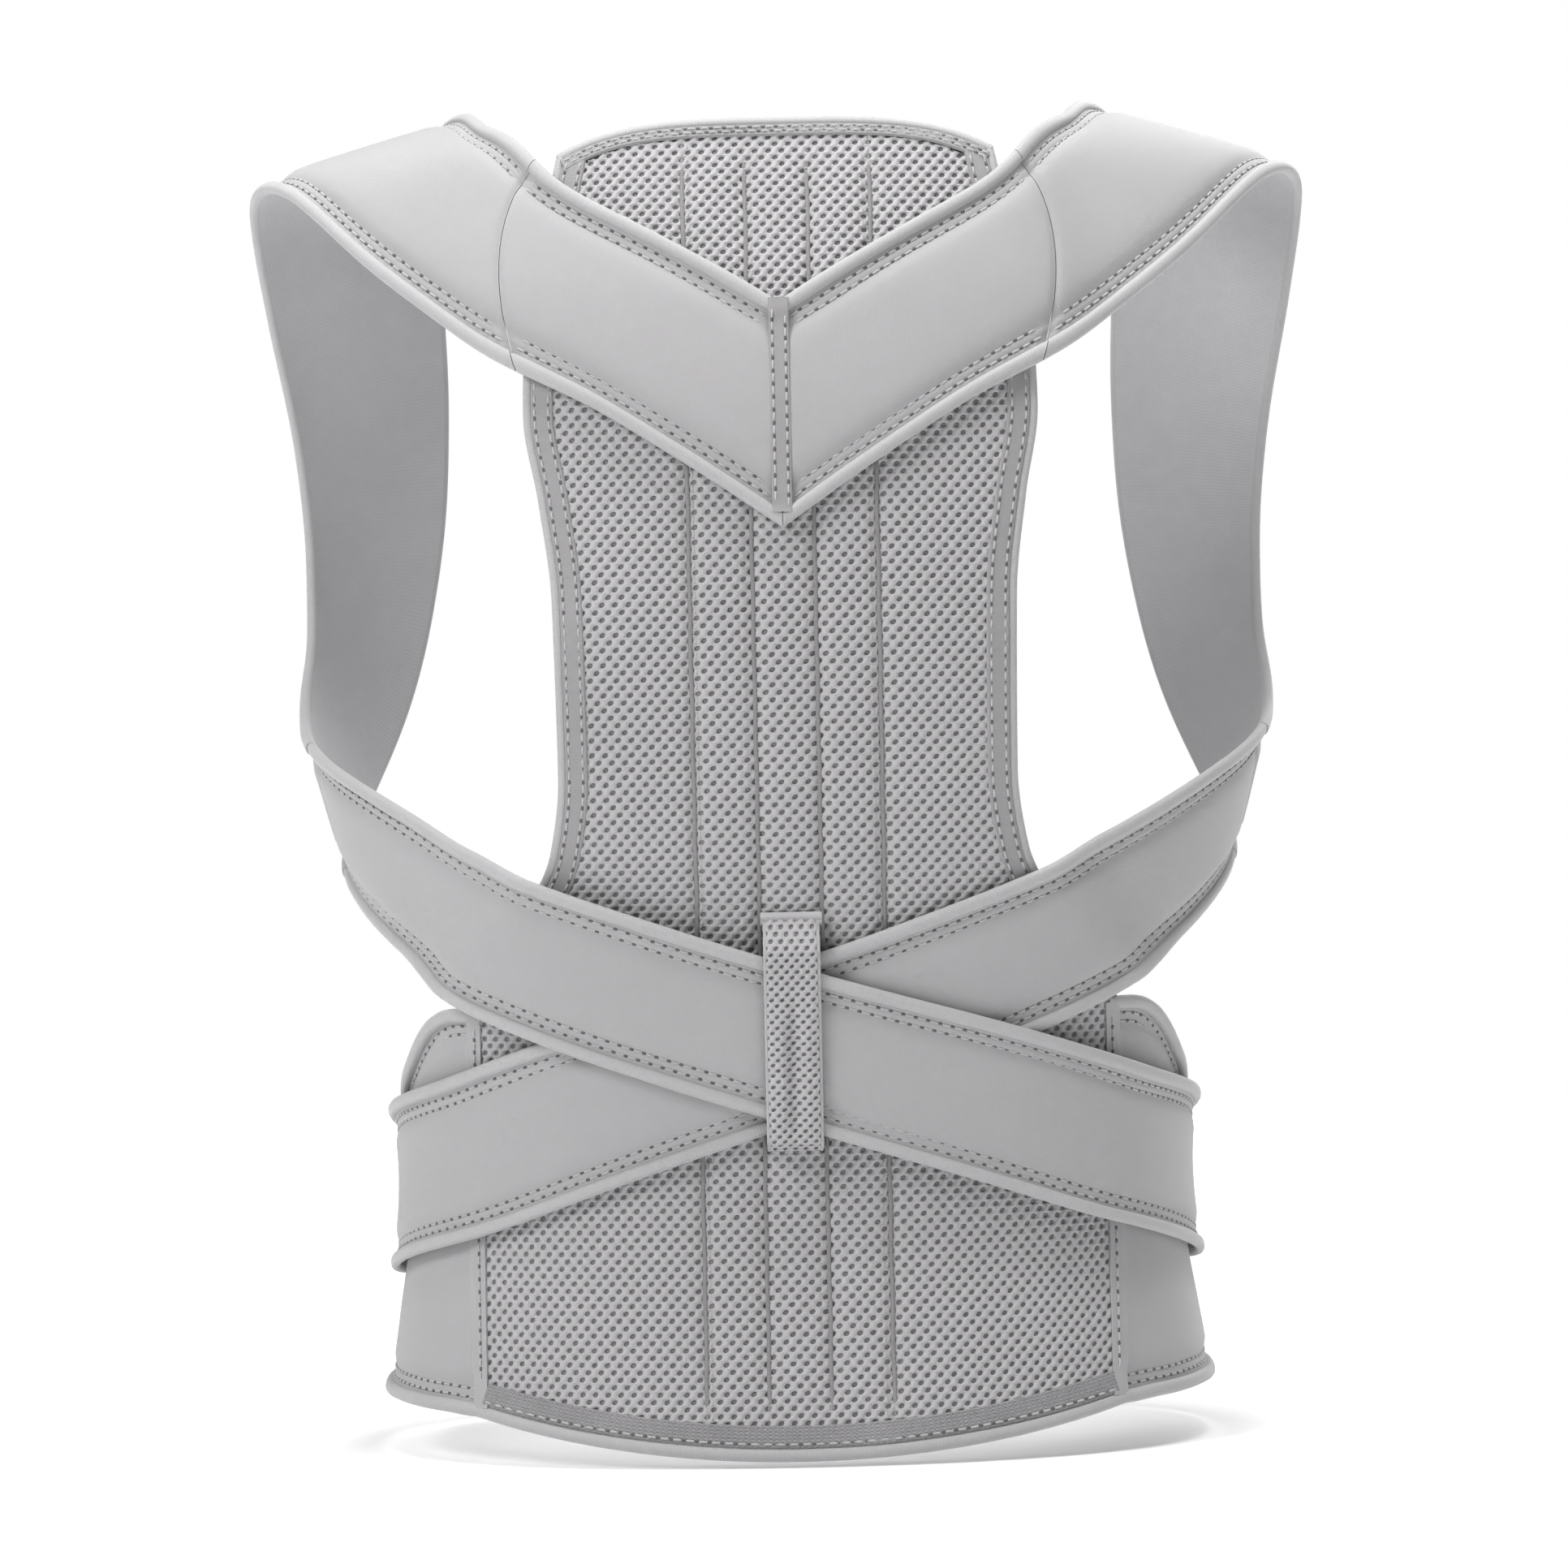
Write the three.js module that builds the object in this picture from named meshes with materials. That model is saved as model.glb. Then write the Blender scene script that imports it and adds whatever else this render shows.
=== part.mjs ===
// A posture brace in the form that it keeps when it is worn. A mesh back panel carries a V-shaped yoke.
// Two shoulder straps leave the yoke, run over the shoulders and back under the arms, cross behind the
// waist inside a keeper loop and end on a belt that closes in front. Millimetres, +Z up, the wearer
// faces +Y. The origin lies midway between the two places on the shoulders that carry the brace.
import * as THREE from "three";

// The trunk that the brace is shaped to.
const SHOULDER_TO_HEM = 440;
const CHEST_HALF_BREADTH = 160;
const CHEST_DEPTH = 218;

// The back panel, of padded mesh with three stay channels down its middle.
const PANEL_RISE = 3.4;
const PANEL_WAIST_HALF = 75;
const PANEL_FOOT_HALF = 107;
const PANEL_THICKNESS = 3.2;
const PANEL_TOP_FALL = 11;
const PANEL_HEM_RISE = 14;
const CHANNEL_COUNT = 3;
const CHANNEL_PITCH = 20.5;
const CHANNEL_RISE = 1.2;
const FIELD_RISE = 0.6;

// The straps, which are one width all the way but for the shares in the route below.
const STRAP_WIDTH = 60;
const SHOULDER_THICKNESS = 3;
const CROSS_THICKNESS = 2.6;
const YOKE_LENGTH = 99;
const SHOULDER_SHARE = 0.49;
const SEAM_BOW = 11;

// The belt, its closure and the keeper loop.
const BELT_THICKNESS = 3;
const BELT_END_TURN = 196;
const PATCH_THICKNESS = 1.2;
const PATCH_MARGIN = 9;
const STRAP_PATCH_LENGTH = 46;
const LOOP_WIDTH = 18;
const LOOP_THICKNESS = 1.6;
const LOOP_OVERHANG = 12;
const LOOP_TUCK = 6;

// The sewn trim: a rounded binding on each edge, and a tape over the seam of the yoke.
const BINDING_WIDTH = 4.6;
const BINDING_RISE = 1;
const TAPE_WIDTH = 6.5;
const TAPE_THICKNESS = 0.9;

// The room between one piece and the next.
const SEAM_GAP = 0.3;
const LAYER_GAP = 0.8;
const DROP_LENGTH = 26;

// How finely the pieces are cut up.
const PANEL_ROWS = 26;
const FIELD_COLUMNS = 4;
const CHANNEL_COLUMNS = 4;
const STRAP_COLUMNS = 4;
const STRAP_STEP = 15;
const BELT_STEPS = 20;
const BELT_COLUMNS = 6;
const LOOP_STEPS = 16;
const BINDING_SIDES = 5;

// The trunk from the neck down. down is a share of SHOULDER_TO_HEM, side of CHEST_HALF_BREADTH, and back
// and front of CHEST_DEPTH. square is the power of the section's rounding, 2 for an ellipse.
const TRUNK = [
  { down: -0.159, side: 0.34, back: 0.13, front: 0.33, square: 2 },
  { down: -0.091, side: 0.38, back: 0.185, front: 0.305, square: 2 },
  { down: -0.05, side: 0.5, back: 0.235, front: 0.285, square: 2 },
  { down: -0.027, side: 0.645, back: 0.262, front: 0.275, square: 2 },
  { down: -0.014, side: 0.75, back: 0.278, front: 0.273, square: 2 },
  { down: 0.002, side: 0.9, back: 0.293, front: 0.275, square: 2 },
  { down: 0.018, side: 1.04, back: 0.307, front: 0.282, square: 2 },
  { down: 0.041, side: 1.145, back: 0.323, front: 0.3, square: 2 },
  { down: 0.08, side: 1.205, back: 0.352, front: 0.34, square: 2.05 },
  { down: 0.136, side: 1.225, back: 0.388, front: 0.413, square: 2.1 },
  { down: 0.227, side: 1.19, back: 0.415, front: 0.505, square: 2.2 },
  { down: 0.341, side: 1.11, back: 0.422, front: 0.57, square: 2.3 },
  { down: 0.482, side: 0.995, back: 0.397, front: 0.595, square: 2.4 },
  { down: 0.591, side: 0.915, back: 0.35, front: 0.578, square: 2.4 },
  { down: 0.705, side: 0.84, back: 0.304, front: 0.545, square: 2.4 },
  { down: 0.795, side: 0.808, back: 0.285, front: 0.528, square: 2.4 },
  { down: 0.909, side: 0.845, back: 0.31, front: 0.528, square: 2.4 },
  { down: 1, side: 0.895, back: 0.345, front: 0.53, square: 2.4 },
  { down: 1.1, side: 0.94, back: 0.385, front: 0.53, square: 2.4 },
];

// Half the panel's width with its binding. down is a share of the panel's height. Above its waist, waist is a share of
// PANEL_WAIST_HALF, and foot is how far it has widened from there to PANEL_FOOT_HALF.
const PANEL_OUTLINE = [
  { down: 0, waist: 0.96, foot: 0 },
  { down: 0.11, waist: 1.1, foot: 0 },
  { down: 0.2, waist: 1.12, foot: 0 },
  { down: 0.27, waist: 1.06, foot: 0 },
  { down: 0.35, waist: 1.01, foot: 0 },
  { down: 0.49, waist: 1, foot: 0 },
  { down: 0.55, waist: 1, foot: 0.1 },
  { down: 0.605, waist: 1, foot: 0.46 },
  { down: 0.66, waist: 1, foot: 1 },
  { down: 1, waist: 1, foot: 1 },
];

// The middle line of the wearer's right strap, from the seam of the yoke to its end on the belt.
// across is a share of CHEST_HALF_BREADTH, forward of CHEST_DEPTH, down of SHOULDER_TO_HEM and width of
// STRAP_WIDTH. Each place is then brought onto the trunk.
const STRAP_ROUTE = [
  { across: 0, forward: -0.41, down: 0.219, width: 1.03 },
  { across: 0.262, forward: -0.405, down: 0.157, width: 1 },
  { across: 0.506, forward: -0.365, down: 0.102, width: 1.02 },
  { across: 0.65, forward: -0.29, down: 0.061, width: 1.08 },
  { across: 0.78, forward: -0.18, down: 0.023, width: 1.14 },
  { across: 0.9, forward: 0, down: 0, width: 1.19 },
  { across: 0.938, forward: 0.15, down: 0.032, width: 1.17 },
  { across: 0.938, forward: 0.257, down: 0.095, width: 1.1 },
  { across: 0.912, forward: 0.349, down: 0.2, width: 1.02 },
  { across: 0.919, forward: 0.394, down: 0.3, width: 0.96 },
  { across: 0.963, forward: 0.358, down: 0.405, width: 0.9 },
  { across: 1.006, forward: 0.193, down: 0.48, width: 0.87 },
  { across: 1, forward: 0.01, down: 0.511, width: 0.86 },
  { across: 0.93, forward: -0.17, down: 0.552, width: 0.88 },
  { across: 0.7, forward: -0.303, down: 0.599, width: 0.88 },
  { across: 0.388, forward: -0.349, down: 0.641, width: 0.88 },
  { across: 0, forward: -0.321, down: 0.684, width: 0.88 },
  { across: -0.375, forward: -0.303, down: 0.73, width: 0.91 },
  { across: -0.656, forward: -0.211, down: 0.768, width: 0.94 },
  { across: -0.831, forward: -0.01, down: 0.793, width: 0.96 },
  { across: -0.813, forward: 0.23, down: 0.813, width: 0.96 },
  { across: -0.594, forward: 0.45, down: 0.82, width: 0.93 },
  { across: -0.4, forward: 0.495, down: 0.823, width: 0.9 },
];

// The belt's two edges with their bindings. turn is in degrees round the trunk from the spine, the rest shares of SHOULDER_TO_HEM.
const BELT_EDGES = [
  { turn: 0, top: 0.657, hem: 0.966 },
  { turn: 50, top: 0.657, hem: 0.966 },
  { turn: 70, top: 0.703, hem: 0.963 },
  { turn: 90, top: 0.745, hem: 0.961 },
  { turn: 120, top: 0.762, hem: 0.958 },
  { turn: 150, top: 0.77, hem: 0.955 },
  { turn: 200, top: 0.773, hem: 0.952 },
];

const EDGE_ROOM = BINDING_WIDTH + SEAM_GAP;
const PANEL_TOP = PANEL_RISE - EDGE_ROOM;
const PANEL_HEM = EDGE_ROOM - SHOULDER_TO_HEM;
const CHANNELS_HALF = (CHANNEL_COUNT * CHANNEL_PITCH) / 2;

// How far one layer of the brace stands off the trunk.
const TRIM_RISE = Math.max(BINDING_RISE, CHANNEL_RISE, FIELD_RISE);
const BASE_THICKNESS = Math.max(PANEL_THICKNESS, BELT_THICKNESS);
const ON_PANEL = BASE_THICKNESS + TRIM_RISE + LAYER_GAP;
const ON_CROSS = CROSS_THICKNESS + BINDING_RISE + LAYER_GAP;
const LOOP_FOOT = PANEL_THICKNESS + CHANNEL_RISE + SEAM_GAP;
const PATCH_LAYER = PATCH_THICKNESS + LAYER_GAP;
const ON_BELT_END = BELT_THICKNESS + BINDING_RISE + PATCH_LAYER + LAYER_GAP;

const radians = THREE.MathUtils.degToRad;
const lerp = THREE.MathUtils.lerp;
const ramp = (value) => THREE.MathUtils.smoothstep(value, 0, 1);

// One column of a table at a place, on a curve through the rows that never swings past them.
function readTable(rows, place, column, at) {
  const last = rows.length - 1;
  const t = THREE.MathUtils.clamp(at, rows[0][place], rows[last][place]);
  const found = rows.findIndex((row) => row[place] > t);
  const i = found < 0 ? last - 1 : found - 1;
  const step = (k) => rows[k + 1][place] - rows[k][place];
  const rise = (k) => (rows[k + 1][column] - rows[k][column]) / step(k);
  const slope = (k) => {
    if (k === 0) return rise(0);
    if (k === last) return rise(last - 1);
    const product = rise(k - 1) * rise(k);
    return product <= 0 ? 0 : (2 * product) / (rise(k - 1) + rise(k));
  };
  return hermite(rows[i][column], rows[i + 1][column], slope(i), slope(i + 1), step(i), (t - rows[i][place]) / step(i));
}

// A cubic from a to b over a step, with the slopes at both ends, at share u of the step.
function hermite(a, b, slopeA, slopeB, step, u) {
  const u2 = u * u;
  const u3 = u2 * u;
  return (
    a * (2 * u3 - 3 * u2 + 1) + b * (3 * u2 - 2 * u3) + step * (slopeA * (u3 - 2 * u2 + u) + slopeB * (u3 - u2))
  );
}

// The trunk's section at a height: half its breadth, its middle and reach front to back, and its rounding.
function sectionAt(z) {
  const down = -z / SHOULDER_TO_HEM;
  const side = readTable(TRUNK, "down", "side", down) * CHEST_HALF_BREADTH;
  const back = readTable(TRUNK, "down", "back", down) * CHEST_DEPTH;
  const front = readTable(TRUNK, "down", "front", down) * CHEST_DEPTH;
  return { side, middle: (front - back) / 2, reach: (front + back) / 2, power: readTable(TRUNK, "down", "square", down) };
}

// 0 on the trunk's surface, above 0 outside it.
function outside(x, y, z) {
  const { side, middle, reach, power } = sectionAt(z);
  return (Math.abs(x / side) ** power + Math.abs((y - middle) / reach) ** power) ** (1 / power) - 1;
}

function slopeOutwards({ x, y, z }) {
  const h = 0.02;
  return new THREE.Vector3(
    outside(x + h, y, z) - outside(x - h, y, z),
    outside(x, y + h, z) - outside(x, y - h, z),
    outside(x, y, z + h) - outside(x, y, z - h),
  ).divideScalar(2 * h);
}

// The place on the trunk nearest to a point, with the direction out of the trunk there.
function ontoTrunk(point) {
  const p = point.clone();
  for (let i = 0; i < 12; i += 1) {
    const slope = slopeOutwards(p);
    p.addScaledVector(slope, -outside(p.x, p.y, p.z) / slope.lengthSq());
  }
  return { at: p, out: slopeOutwards(p).normalize() };
}

// The place on the trunk at an angle round it from the spine, towards the wearer's right, and a height.
function trunkAtTurn(turn, z) {
  const { side, middle, reach, power } = sectionAt(z);
  const across = Math.sin(turn);
  const behind = Math.cos(turn);
  const r = (Math.abs(across) ** power + Math.abs(behind) ** power) ** (-1 / power);
  return ontoTrunk(new THREE.Vector3(side * r * across, middle - reach * r * behind, z));
}

// The angle round the trunk at which its back is a distance across from the spine.
function turnAcross(across, z) {
  const { side, power } = sectionAt(z);
  return Math.atan((Math.abs(across / side) ** -power - 1) ** (-1 / power));
}

// The angle round the trunk of a place on it, without its sign.
function turnOf({ x, y, z }) {
  const { side, middle, reach } = sectionAt(z);
  return Math.atan2(Math.abs(x) / side, (middle - y) / reach);
}

const backAt = (x, z) => trunkAtTurn(Math.sign(x) * (x === 0 ? 0 : turnAcross(x, z)), z);

function beltEdge(edge, turn) {
  const room = edge === "top" ? -EDGE_ROOM : EDGE_ROOM;
  return room - readTable(BELT_EDGES, "turn", edge, THREE.MathUtils.radToDeg(turn)) * SHOULDER_TO_HEM;
}

function panelHalfAt(down) {
  const foot = readTable(PANEL_OUTLINE, "down", "foot", down);
  const waist = readTable(PANEL_OUTLINE, "down", "waist", down) * PANEL_WAIST_HALF - EDGE_ROOM;
  return lerp(waist, PANEL_FOOT_HALF, foot);
}

// 1 over the panel and belt, 0 on bare trunk, with a slope of DROP_LENGTH outside their bindings.
function coverAt(place) {
  const { x, z } = place;
  const down = (PANEL_TOP - z) / (PANEL_TOP - PANEL_HEM);
  const inPanel = Math.min(panelHalfAt(down) - Math.abs(x), PANEL_TOP - z);
  const inBelt = beltEdge("top", turnOf(place)) - z;
  const margin = EDGE_ROOM + LAYER_GAP;
  return ramp((Math.max(inPanel, inBelt) + margin + DROP_LENGTH) / DROP_LENGTH);
}

// A solid between an under and an over surface, each a grid of points with the same rows and columns.
function slab(rows) {
  const columns = rows[0].length;
  const points = [...rows.flat().map((cell) => cell.under), ...rows.flat().map((cell) => cell.over)];
  const under = (i, j) => i * columns + j;
  const over = (i, j) => rows.length * columns + under(i, j);
  const faces = [];
  const quad = (a, b, c, d) => faces.push([a, b, c], [a, c, d]);
  for (let i = 0; i + 1 < rows.length; i += 1) {
    for (let j = 0; j + 1 < columns; j += 1) {
      quad(over(i, j), over(i + 1, j), over(i + 1, j + 1), over(i, j + 1));
      quad(under(i, j), under(i, j + 1), under(i + 1, j + 1), under(i + 1, j));
    }
    const j = columns - 1;
    quad(under(i, 0), under(i + 1, 0), over(i + 1, 0), over(i, 0));
    quad(over(i, j), over(i + 1, j), under(i + 1, j), under(i, j));
  }
  for (let j = 0; j + 1 < columns; j += 1) {
    const i = rows.length - 1;
    quad(over(0, j), over(0, j + 1), under(0, j + 1), under(0, j));
    quad(under(i, j), under(i, j + 1), over(i, j + 1), over(i, j));
  }
  return closedGeometry(points, faces);
}

// A solid along a row of rings, each with the same number of points, with a flat face on both ends.
function tube(rings) {
  const sides = rings[0].length;
  const faces = [];
  for (let i = 0; i + 1 < rings.length; i += 1) {
    for (let k = 0; k < sides; k += 1) {
      const next = (k + 1) % sides;
      const [a, b] = [i * sides + k, i * sides + next];
      faces.push([a, b, b + sides], [a, b + sides, a + sides]);
    }
  }
  const end = (rings.length - 1) * sides;
  for (let k = 1; k + 1 < sides; k += 1) {
    faces.push([0, k + 1, k], [end, end + k, end + k + 1]);
  }
  return closedGeometry(rings.flat(), faces);
}

// A geometry from points and triangles, turned so that its faces point out.
function closedGeometry(points, faces) {
  const volume = faces.reduce((sum, [a, b, c]) => {
    return sum + points[a].dot(new THREE.Vector3().crossVectors(points[b], points[c]));
  }, 0);
  const turned = volume < 0 ? faces.map(([a, b, c]) => [a, c, b]) : faces;
  const geometry = new THREE.BufferGeometry().setFromPoints(points).setIndex(turned.flat());
  geometry.computeVertexNormals();
  return geometry;
}

// One cell of a slab's grid: a place on the trunk, and how far both surfaces stand off it.
function cell({ at, out }, lift, thickness) {
  return {
    under: at.clone().addScaledVector(out, lift),
    over: at.clone().addScaledVector(out, lift + thickness),
    out,
  };
}

// The binding along an edge. Each place of the edge has the web's cell there and the one next to it.
function binding(edge) {
  const reach = edge.map(({ here, inner }) => {
    const away = here.under.clone().sub(inner.under);
    return away.addScaledVector(here.out, -away.dot(here.out)).normalize();
  });
  const rings = edge.map(({ here, corner }, i) => {
    const away = corner ? reach[i].clone().add(reach[i + corner]).normalize() : reach[i];
    const stretch = 1 / away.dot(reach[i]);
    const thickness = here.over.clone().sub(here.under).length();
    const half = (thickness + BINDING_RISE) / 2;
    const centre = here.under.clone().addScaledVector(here.out, half);
    centre.addScaledVector(away, (SEAM_GAP + BINDING_WIDTH / 2) * stretch);
    return Array.from({ length: BINDING_SIDES }, (_, k) => {
      const angle = (2 * Math.PI * (k + 0.5)) / BINDING_SIDES;
      const round = 1 / Math.cos(Math.PI / BINDING_SIDES);
      return centre
        .clone()
        .addScaledVector(away, (-Math.cos(angle) * BINDING_WIDTH * stretch * round) / 2)
        .addScaledVector(here.out, Math.sin(angle) * half);
    });
  });
  return tube(rings);
}

// The edges of a slab's grid, in the form that binding wants.
const firstColumn = (rows) => rows.map((row) => ({ here: row[0], inner: row[1] }));
const lastColumn = (rows) => rows.map((row) => ({ here: row.at(-1), inner: row.at(-2) }));
const firstRow = (rows) => rows[0].map((here, j) => ({ here, inner: rows[1][j] }));
const lastRow = (rows) => rows.at(-1).map((here, j) => ({ here, inner: rows.at(-2)[j] }));

// Two edges that meet at a corner, joined by a mitre there.
function aroundCorner(edgeA, edgeB) {
  const turned = [...edgeA, ...edgeB];
  const i = edgeA.length - 1;
  turned[i] = { ...turned[i], corner: 1 };
  turned.splice(i + 1, 1);
  turned[i] = { ...turned[i], corner: 0, inner: diagonal(edgeA.at(-1), edgeB[0]) };
  return turned;
}

// The place inside a corner that lies between its two inner neighbours.
function diagonal(a, b) {
  const under = a.inner.under.clone().add(b.inner.under).sub(a.here.under);
  return { under };
}

// The route's rows in millimetres, each with its distance along the strap.
function strapStations() {
  let along = 0;
  return STRAP_ROUTE.map((row, i) => {
    const place = ({ across, forward, down }) =>
      new THREE.Vector3(across * CHEST_HALF_BREADTH, forward * CHEST_DEPTH, -down * SHOULDER_TO_HEM);
    const at = place(row);
    if (i > 0) along += at.distanceTo(place(STRAP_ROUTE[i - 1]));
    return { along, x: at.x, y: at.y, z: at.z, width: row.width * STRAP_WIDTH };
  });
}

const STATIONS = strapStations();
const STRAP_LENGTH = STATIONS.at(-1).along;
const SHOULDER_END = SHOULDER_SHARE * STRAP_LENGTH;

// One column of the stations, on an even curve through them.
function readStations(column, at) {
  const last = STATIONS.length - 1;
  const found = STATIONS.findIndex((row) => row.along > at);
  const i = THREE.MathUtils.clamp(found < 0 ? last - 1 : found - 1, 0, last - 1);
  const slope = (k) => {
    const a = STATIONS[Math.max(k - 1, 0)];
    const b = STATIONS[Math.min(k + 1, last)];
    return (b[column] - a[column]) / (b.along - a.along);
  };
  const [a, b] = [STATIONS[i], STATIONS[i + 1]];
  const step = b.along - a.along;
  return hermite(a[column], b[column], slope(i), slope(i + 1), step, (at - a.along) / step);
}

const strapMiddle = (along) =>
  ontoTrunk(new THREE.Vector3(readStations("x", along), readStations("y", along), readStations("z", along)));

// The slant of the strap's rows: upright all over the yoke, then square to the strap.
function rowSlant(along) {
  const start = strapMiddle(0).at;
  const ahead = strapMiddle(1).at.sub(start).normalize();
  return Math.asin(ahead.z) * (1 - ramp((along - YOKE_LENGTH) / YOKE_LENGTH));
}

// How far the middle of a row lies ahead of its ends, most at the seam where the yoke ends.
function rowBow(along) {
  return SEAM_BOW * ramp(1 - Math.abs(along - YOKE_LENGTH) / YOKE_LENGTH);
}

// How far a strap stands off the trunk at a place. The left strap crosses over the right one.
function strapLift(place, along, over) {
  const toEnd = STRAP_LENGTH - along;
  const onPatch = PATCH_LAYER * ramp((STRAP_PATCH_LENGTH + DROP_LENGTH - toEnd) / DROP_LENGTH);
  const crossing = over && along > SHOULDER_END ? ON_CROSS * crossCover(place) : 0;
  return coverAt(place) * ON_PANEL + crossing + onPatch;
}

// 1 where the straps lie on each other behind the waist, 0 where they have parted.
function crossCover(place) {
  const slope = readStations("z", crossingAlong() - 1) - readStations("z", crossingAlong() + 1);
  const parted = STRAP_WIDTH / slope + BINDING_WIDTH;
  return place.y > 0 ? 0 : ramp((parted + DROP_LENGTH - Math.abs(place.x)) / DROP_LENGTH);
}

// The distance along the strap at which it meets the other one behind the waist.
function crossingAlong() {
  const i = STRAP_ROUTE.findLastIndex((row) => row.across === 0);
  return STATIONS[i].along;
}

// The grid of a strap between two distances along it. inset narrows it on both edges.
function strapRows(from, to, { over, thickness, inset = EDGE_ROOM, sunk = 0, columns = STRAP_COLUMNS }) {
  const steps = Math.max(2, Math.round((to - from) / STRAP_STEP));
  return Array.from({ length: steps + 1 }, (_, i) => {
    const along = lerp(from, to, i / steps);
    const middle = strapMiddle(along);
    const ahead = strapMiddle(along + 1).at.sub(strapMiddle(along - 1).at).normalize();
    const aside = new THREE.Vector3().crossVectors(middle.out, ahead).normalize();
    const slant = rowSlant(along);
    const row = aside.multiplyScalar(Math.cos(slant)).addScaledVector(ahead, Math.sin(slant));
    const half = (readStations("width", along) / 2 - inset) / Math.cos(slant);
    return Array.from({ length: columns + 1 }, (_, j) => {
      const share = 1 - (2 * j) / columns;
      const point = middle.at.clone().addScaledVector(row, half * share);
      point.addScaledVector(ahead, rowBow(along) * (1 - share * share));
      const place = ontoTrunk(point);
      return cell(place, strapLift(place.at, along, over) - sunk, thickness);
    });
  });
}

// The panel's grid. u runs over the columns and v down the rows.
function panelRows() {
  const across = panelColumns();
  return Array.from({ length: PANEL_ROWS + 1 }, (_, i) => {
    const down = i / PANEL_ROWS;
    const half = panelHalfAt(down);
    return across.map(({ channels, field }) => {
      const x = channels * CHANNELS_HALF + field * (half - CHANNELS_HALF);
      const top = PANEL_TOP - PANEL_TOP_FALL * Math.abs(x / half) ** 3.5;
      const hem = PANEL_HEM + PANEL_HEM_RISE * (x / half) ** 2;
      return cell(backAt(x, lerp(top, hem, down)), 0, PANEL_THICKNESS + quilting(x, half));
    });
  });
}

// The columns of the panel: channels counts in half widths of the channels, field out to the panel's edge.
function panelColumns() {
  const count = CHANNEL_COUNT * CHANNEL_COLUMNS;
  const channels = Array.from({ length: count + 1 }, (_, j) => ({ channels: (2 * j) / count - 1, field: 0 }));
  const field = (side) =>
    Array.from({ length: FIELD_COLUMNS }, (_, j) => ({ channels: side, field: (side * (j + 1)) / FIELD_COLUMNS }));
  return [...field(-1).reverse(), ...channels, ...field(1)];
}

// How far the padding swells between the sewn lines, at a distance from the spine.
function quilting(x, half) {
  const away = Math.abs(x);
  if (away <= CHANNELS_HALF) return CHANNEL_RISE * Math.abs(Math.cos((Math.PI * x) / CHANNEL_PITCH));
  return FIELD_RISE * Math.sin((Math.PI * (away - CHANNELS_HALF)) / (half - CHANNELS_HALF));
}

// The grid of a belt wing, from the foot of the panel round to the front. The left one closes on the right.
function wingRows(over) {
  const end = radians(BELT_END_TURN);
  const across = PANEL_FOOT_HALF + 2 * SEAM_GAP;
  return Array.from({ length: BELT_STEPS + 1 }, (_, i) => {
    const share = i / BELT_STEPS;
    const middle = (beltEdge("top", 0) + beltEdge("hem", 0)) / 2;
    const nominal = lerp(turnAcross(across, middle), end, share);
    const [top, hem] = [beltEdge("top", nominal), beltEdge("hem", nominal)];
    return Array.from({ length: BELT_COLUMNS + 1 }, (_, j) => {
      const z = lerp(top, hem, j / BELT_COLUMNS);
      const turn = lerp(turnAcross(across, z), end, share);
      return cell(trunkAtTurn(turn, z), over ? ON_BELT_END * frontCover(turn) : 0, BELT_THICKNESS);
    });
  });
}

// 1 where the belt's two ends lie on each other in front, 0 where they have parted.
function frontCover(turn) {
  const lapStart = 2 * Math.PI - radians(BELT_END_TURN);
  const room = radians(5);
  return ramp((turn - lapStart + 3 * room) / (2 * room));
}

// The closure between the belt's two ends, smaller than their lap on all sides.
function beltPatchRows() {
  const lap = radians(BELT_END_TURN) - Math.PI;
  const steps = 4;
  return Array.from({ length: steps + 1 }, (_, i) => {
    const turn = Math.PI + lap * 0.75 * (1 - (2 * i) / steps);
    const [top, hem] = [beltEdge("top", turn) - PATCH_MARGIN, beltEdge("hem", turn) + PATCH_MARGIN];
    return Array.from({ length: BELT_COLUMNS + 1 }, (_, j) => {
      const place = trunkAtTurn(turn, lerp(top, hem, j / BELT_COLUMNS));
      return cell(place, BELT_THICKNESS + BINDING_RISE + LAYER_GAP, PATCH_THICKNESS);
    });
  });
}

// The keeper loop over the crossing: sewn to the panel above it, and tucked in close below it.
function loopRows() {
  const at = crossingAlong();
  const slant = Math.asin((strapMiddle(at - 1).at.z - strapMiddle(at + 1).at.z) / 2);
  const halfHeight = readStations("width", at) / 2 / Math.cos(slant) + (Math.tan(slant) * LOOP_WIDTH) / 2;
  const middle = strapMiddle(at).at.z;
  const top = middle + halfHeight + LOOP_OVERHANG;
  const foot = middle - halfHeight - LOOP_TUCK;
  return Array.from({ length: LOOP_STEPS + 1 }, (_, i) => {
    const z = lerp(top, foot, i / LOOP_STEPS);
    const raised = ramp((top - z) / (LOOP_OVERHANG - 1)) * ramp((z - foot) / (LOOP_TUCK - 1));
    const lift = lerp(LOOP_FOOT, ON_PANEL + 2 * ON_CROSS, raised);
    return [-1, -1 / 3, 1 / 3, 1].map((side) => cell(backAt((side * LOOP_WIDTH) / 2, z), lift, LOOP_THICKNESS));
  });
}

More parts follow.
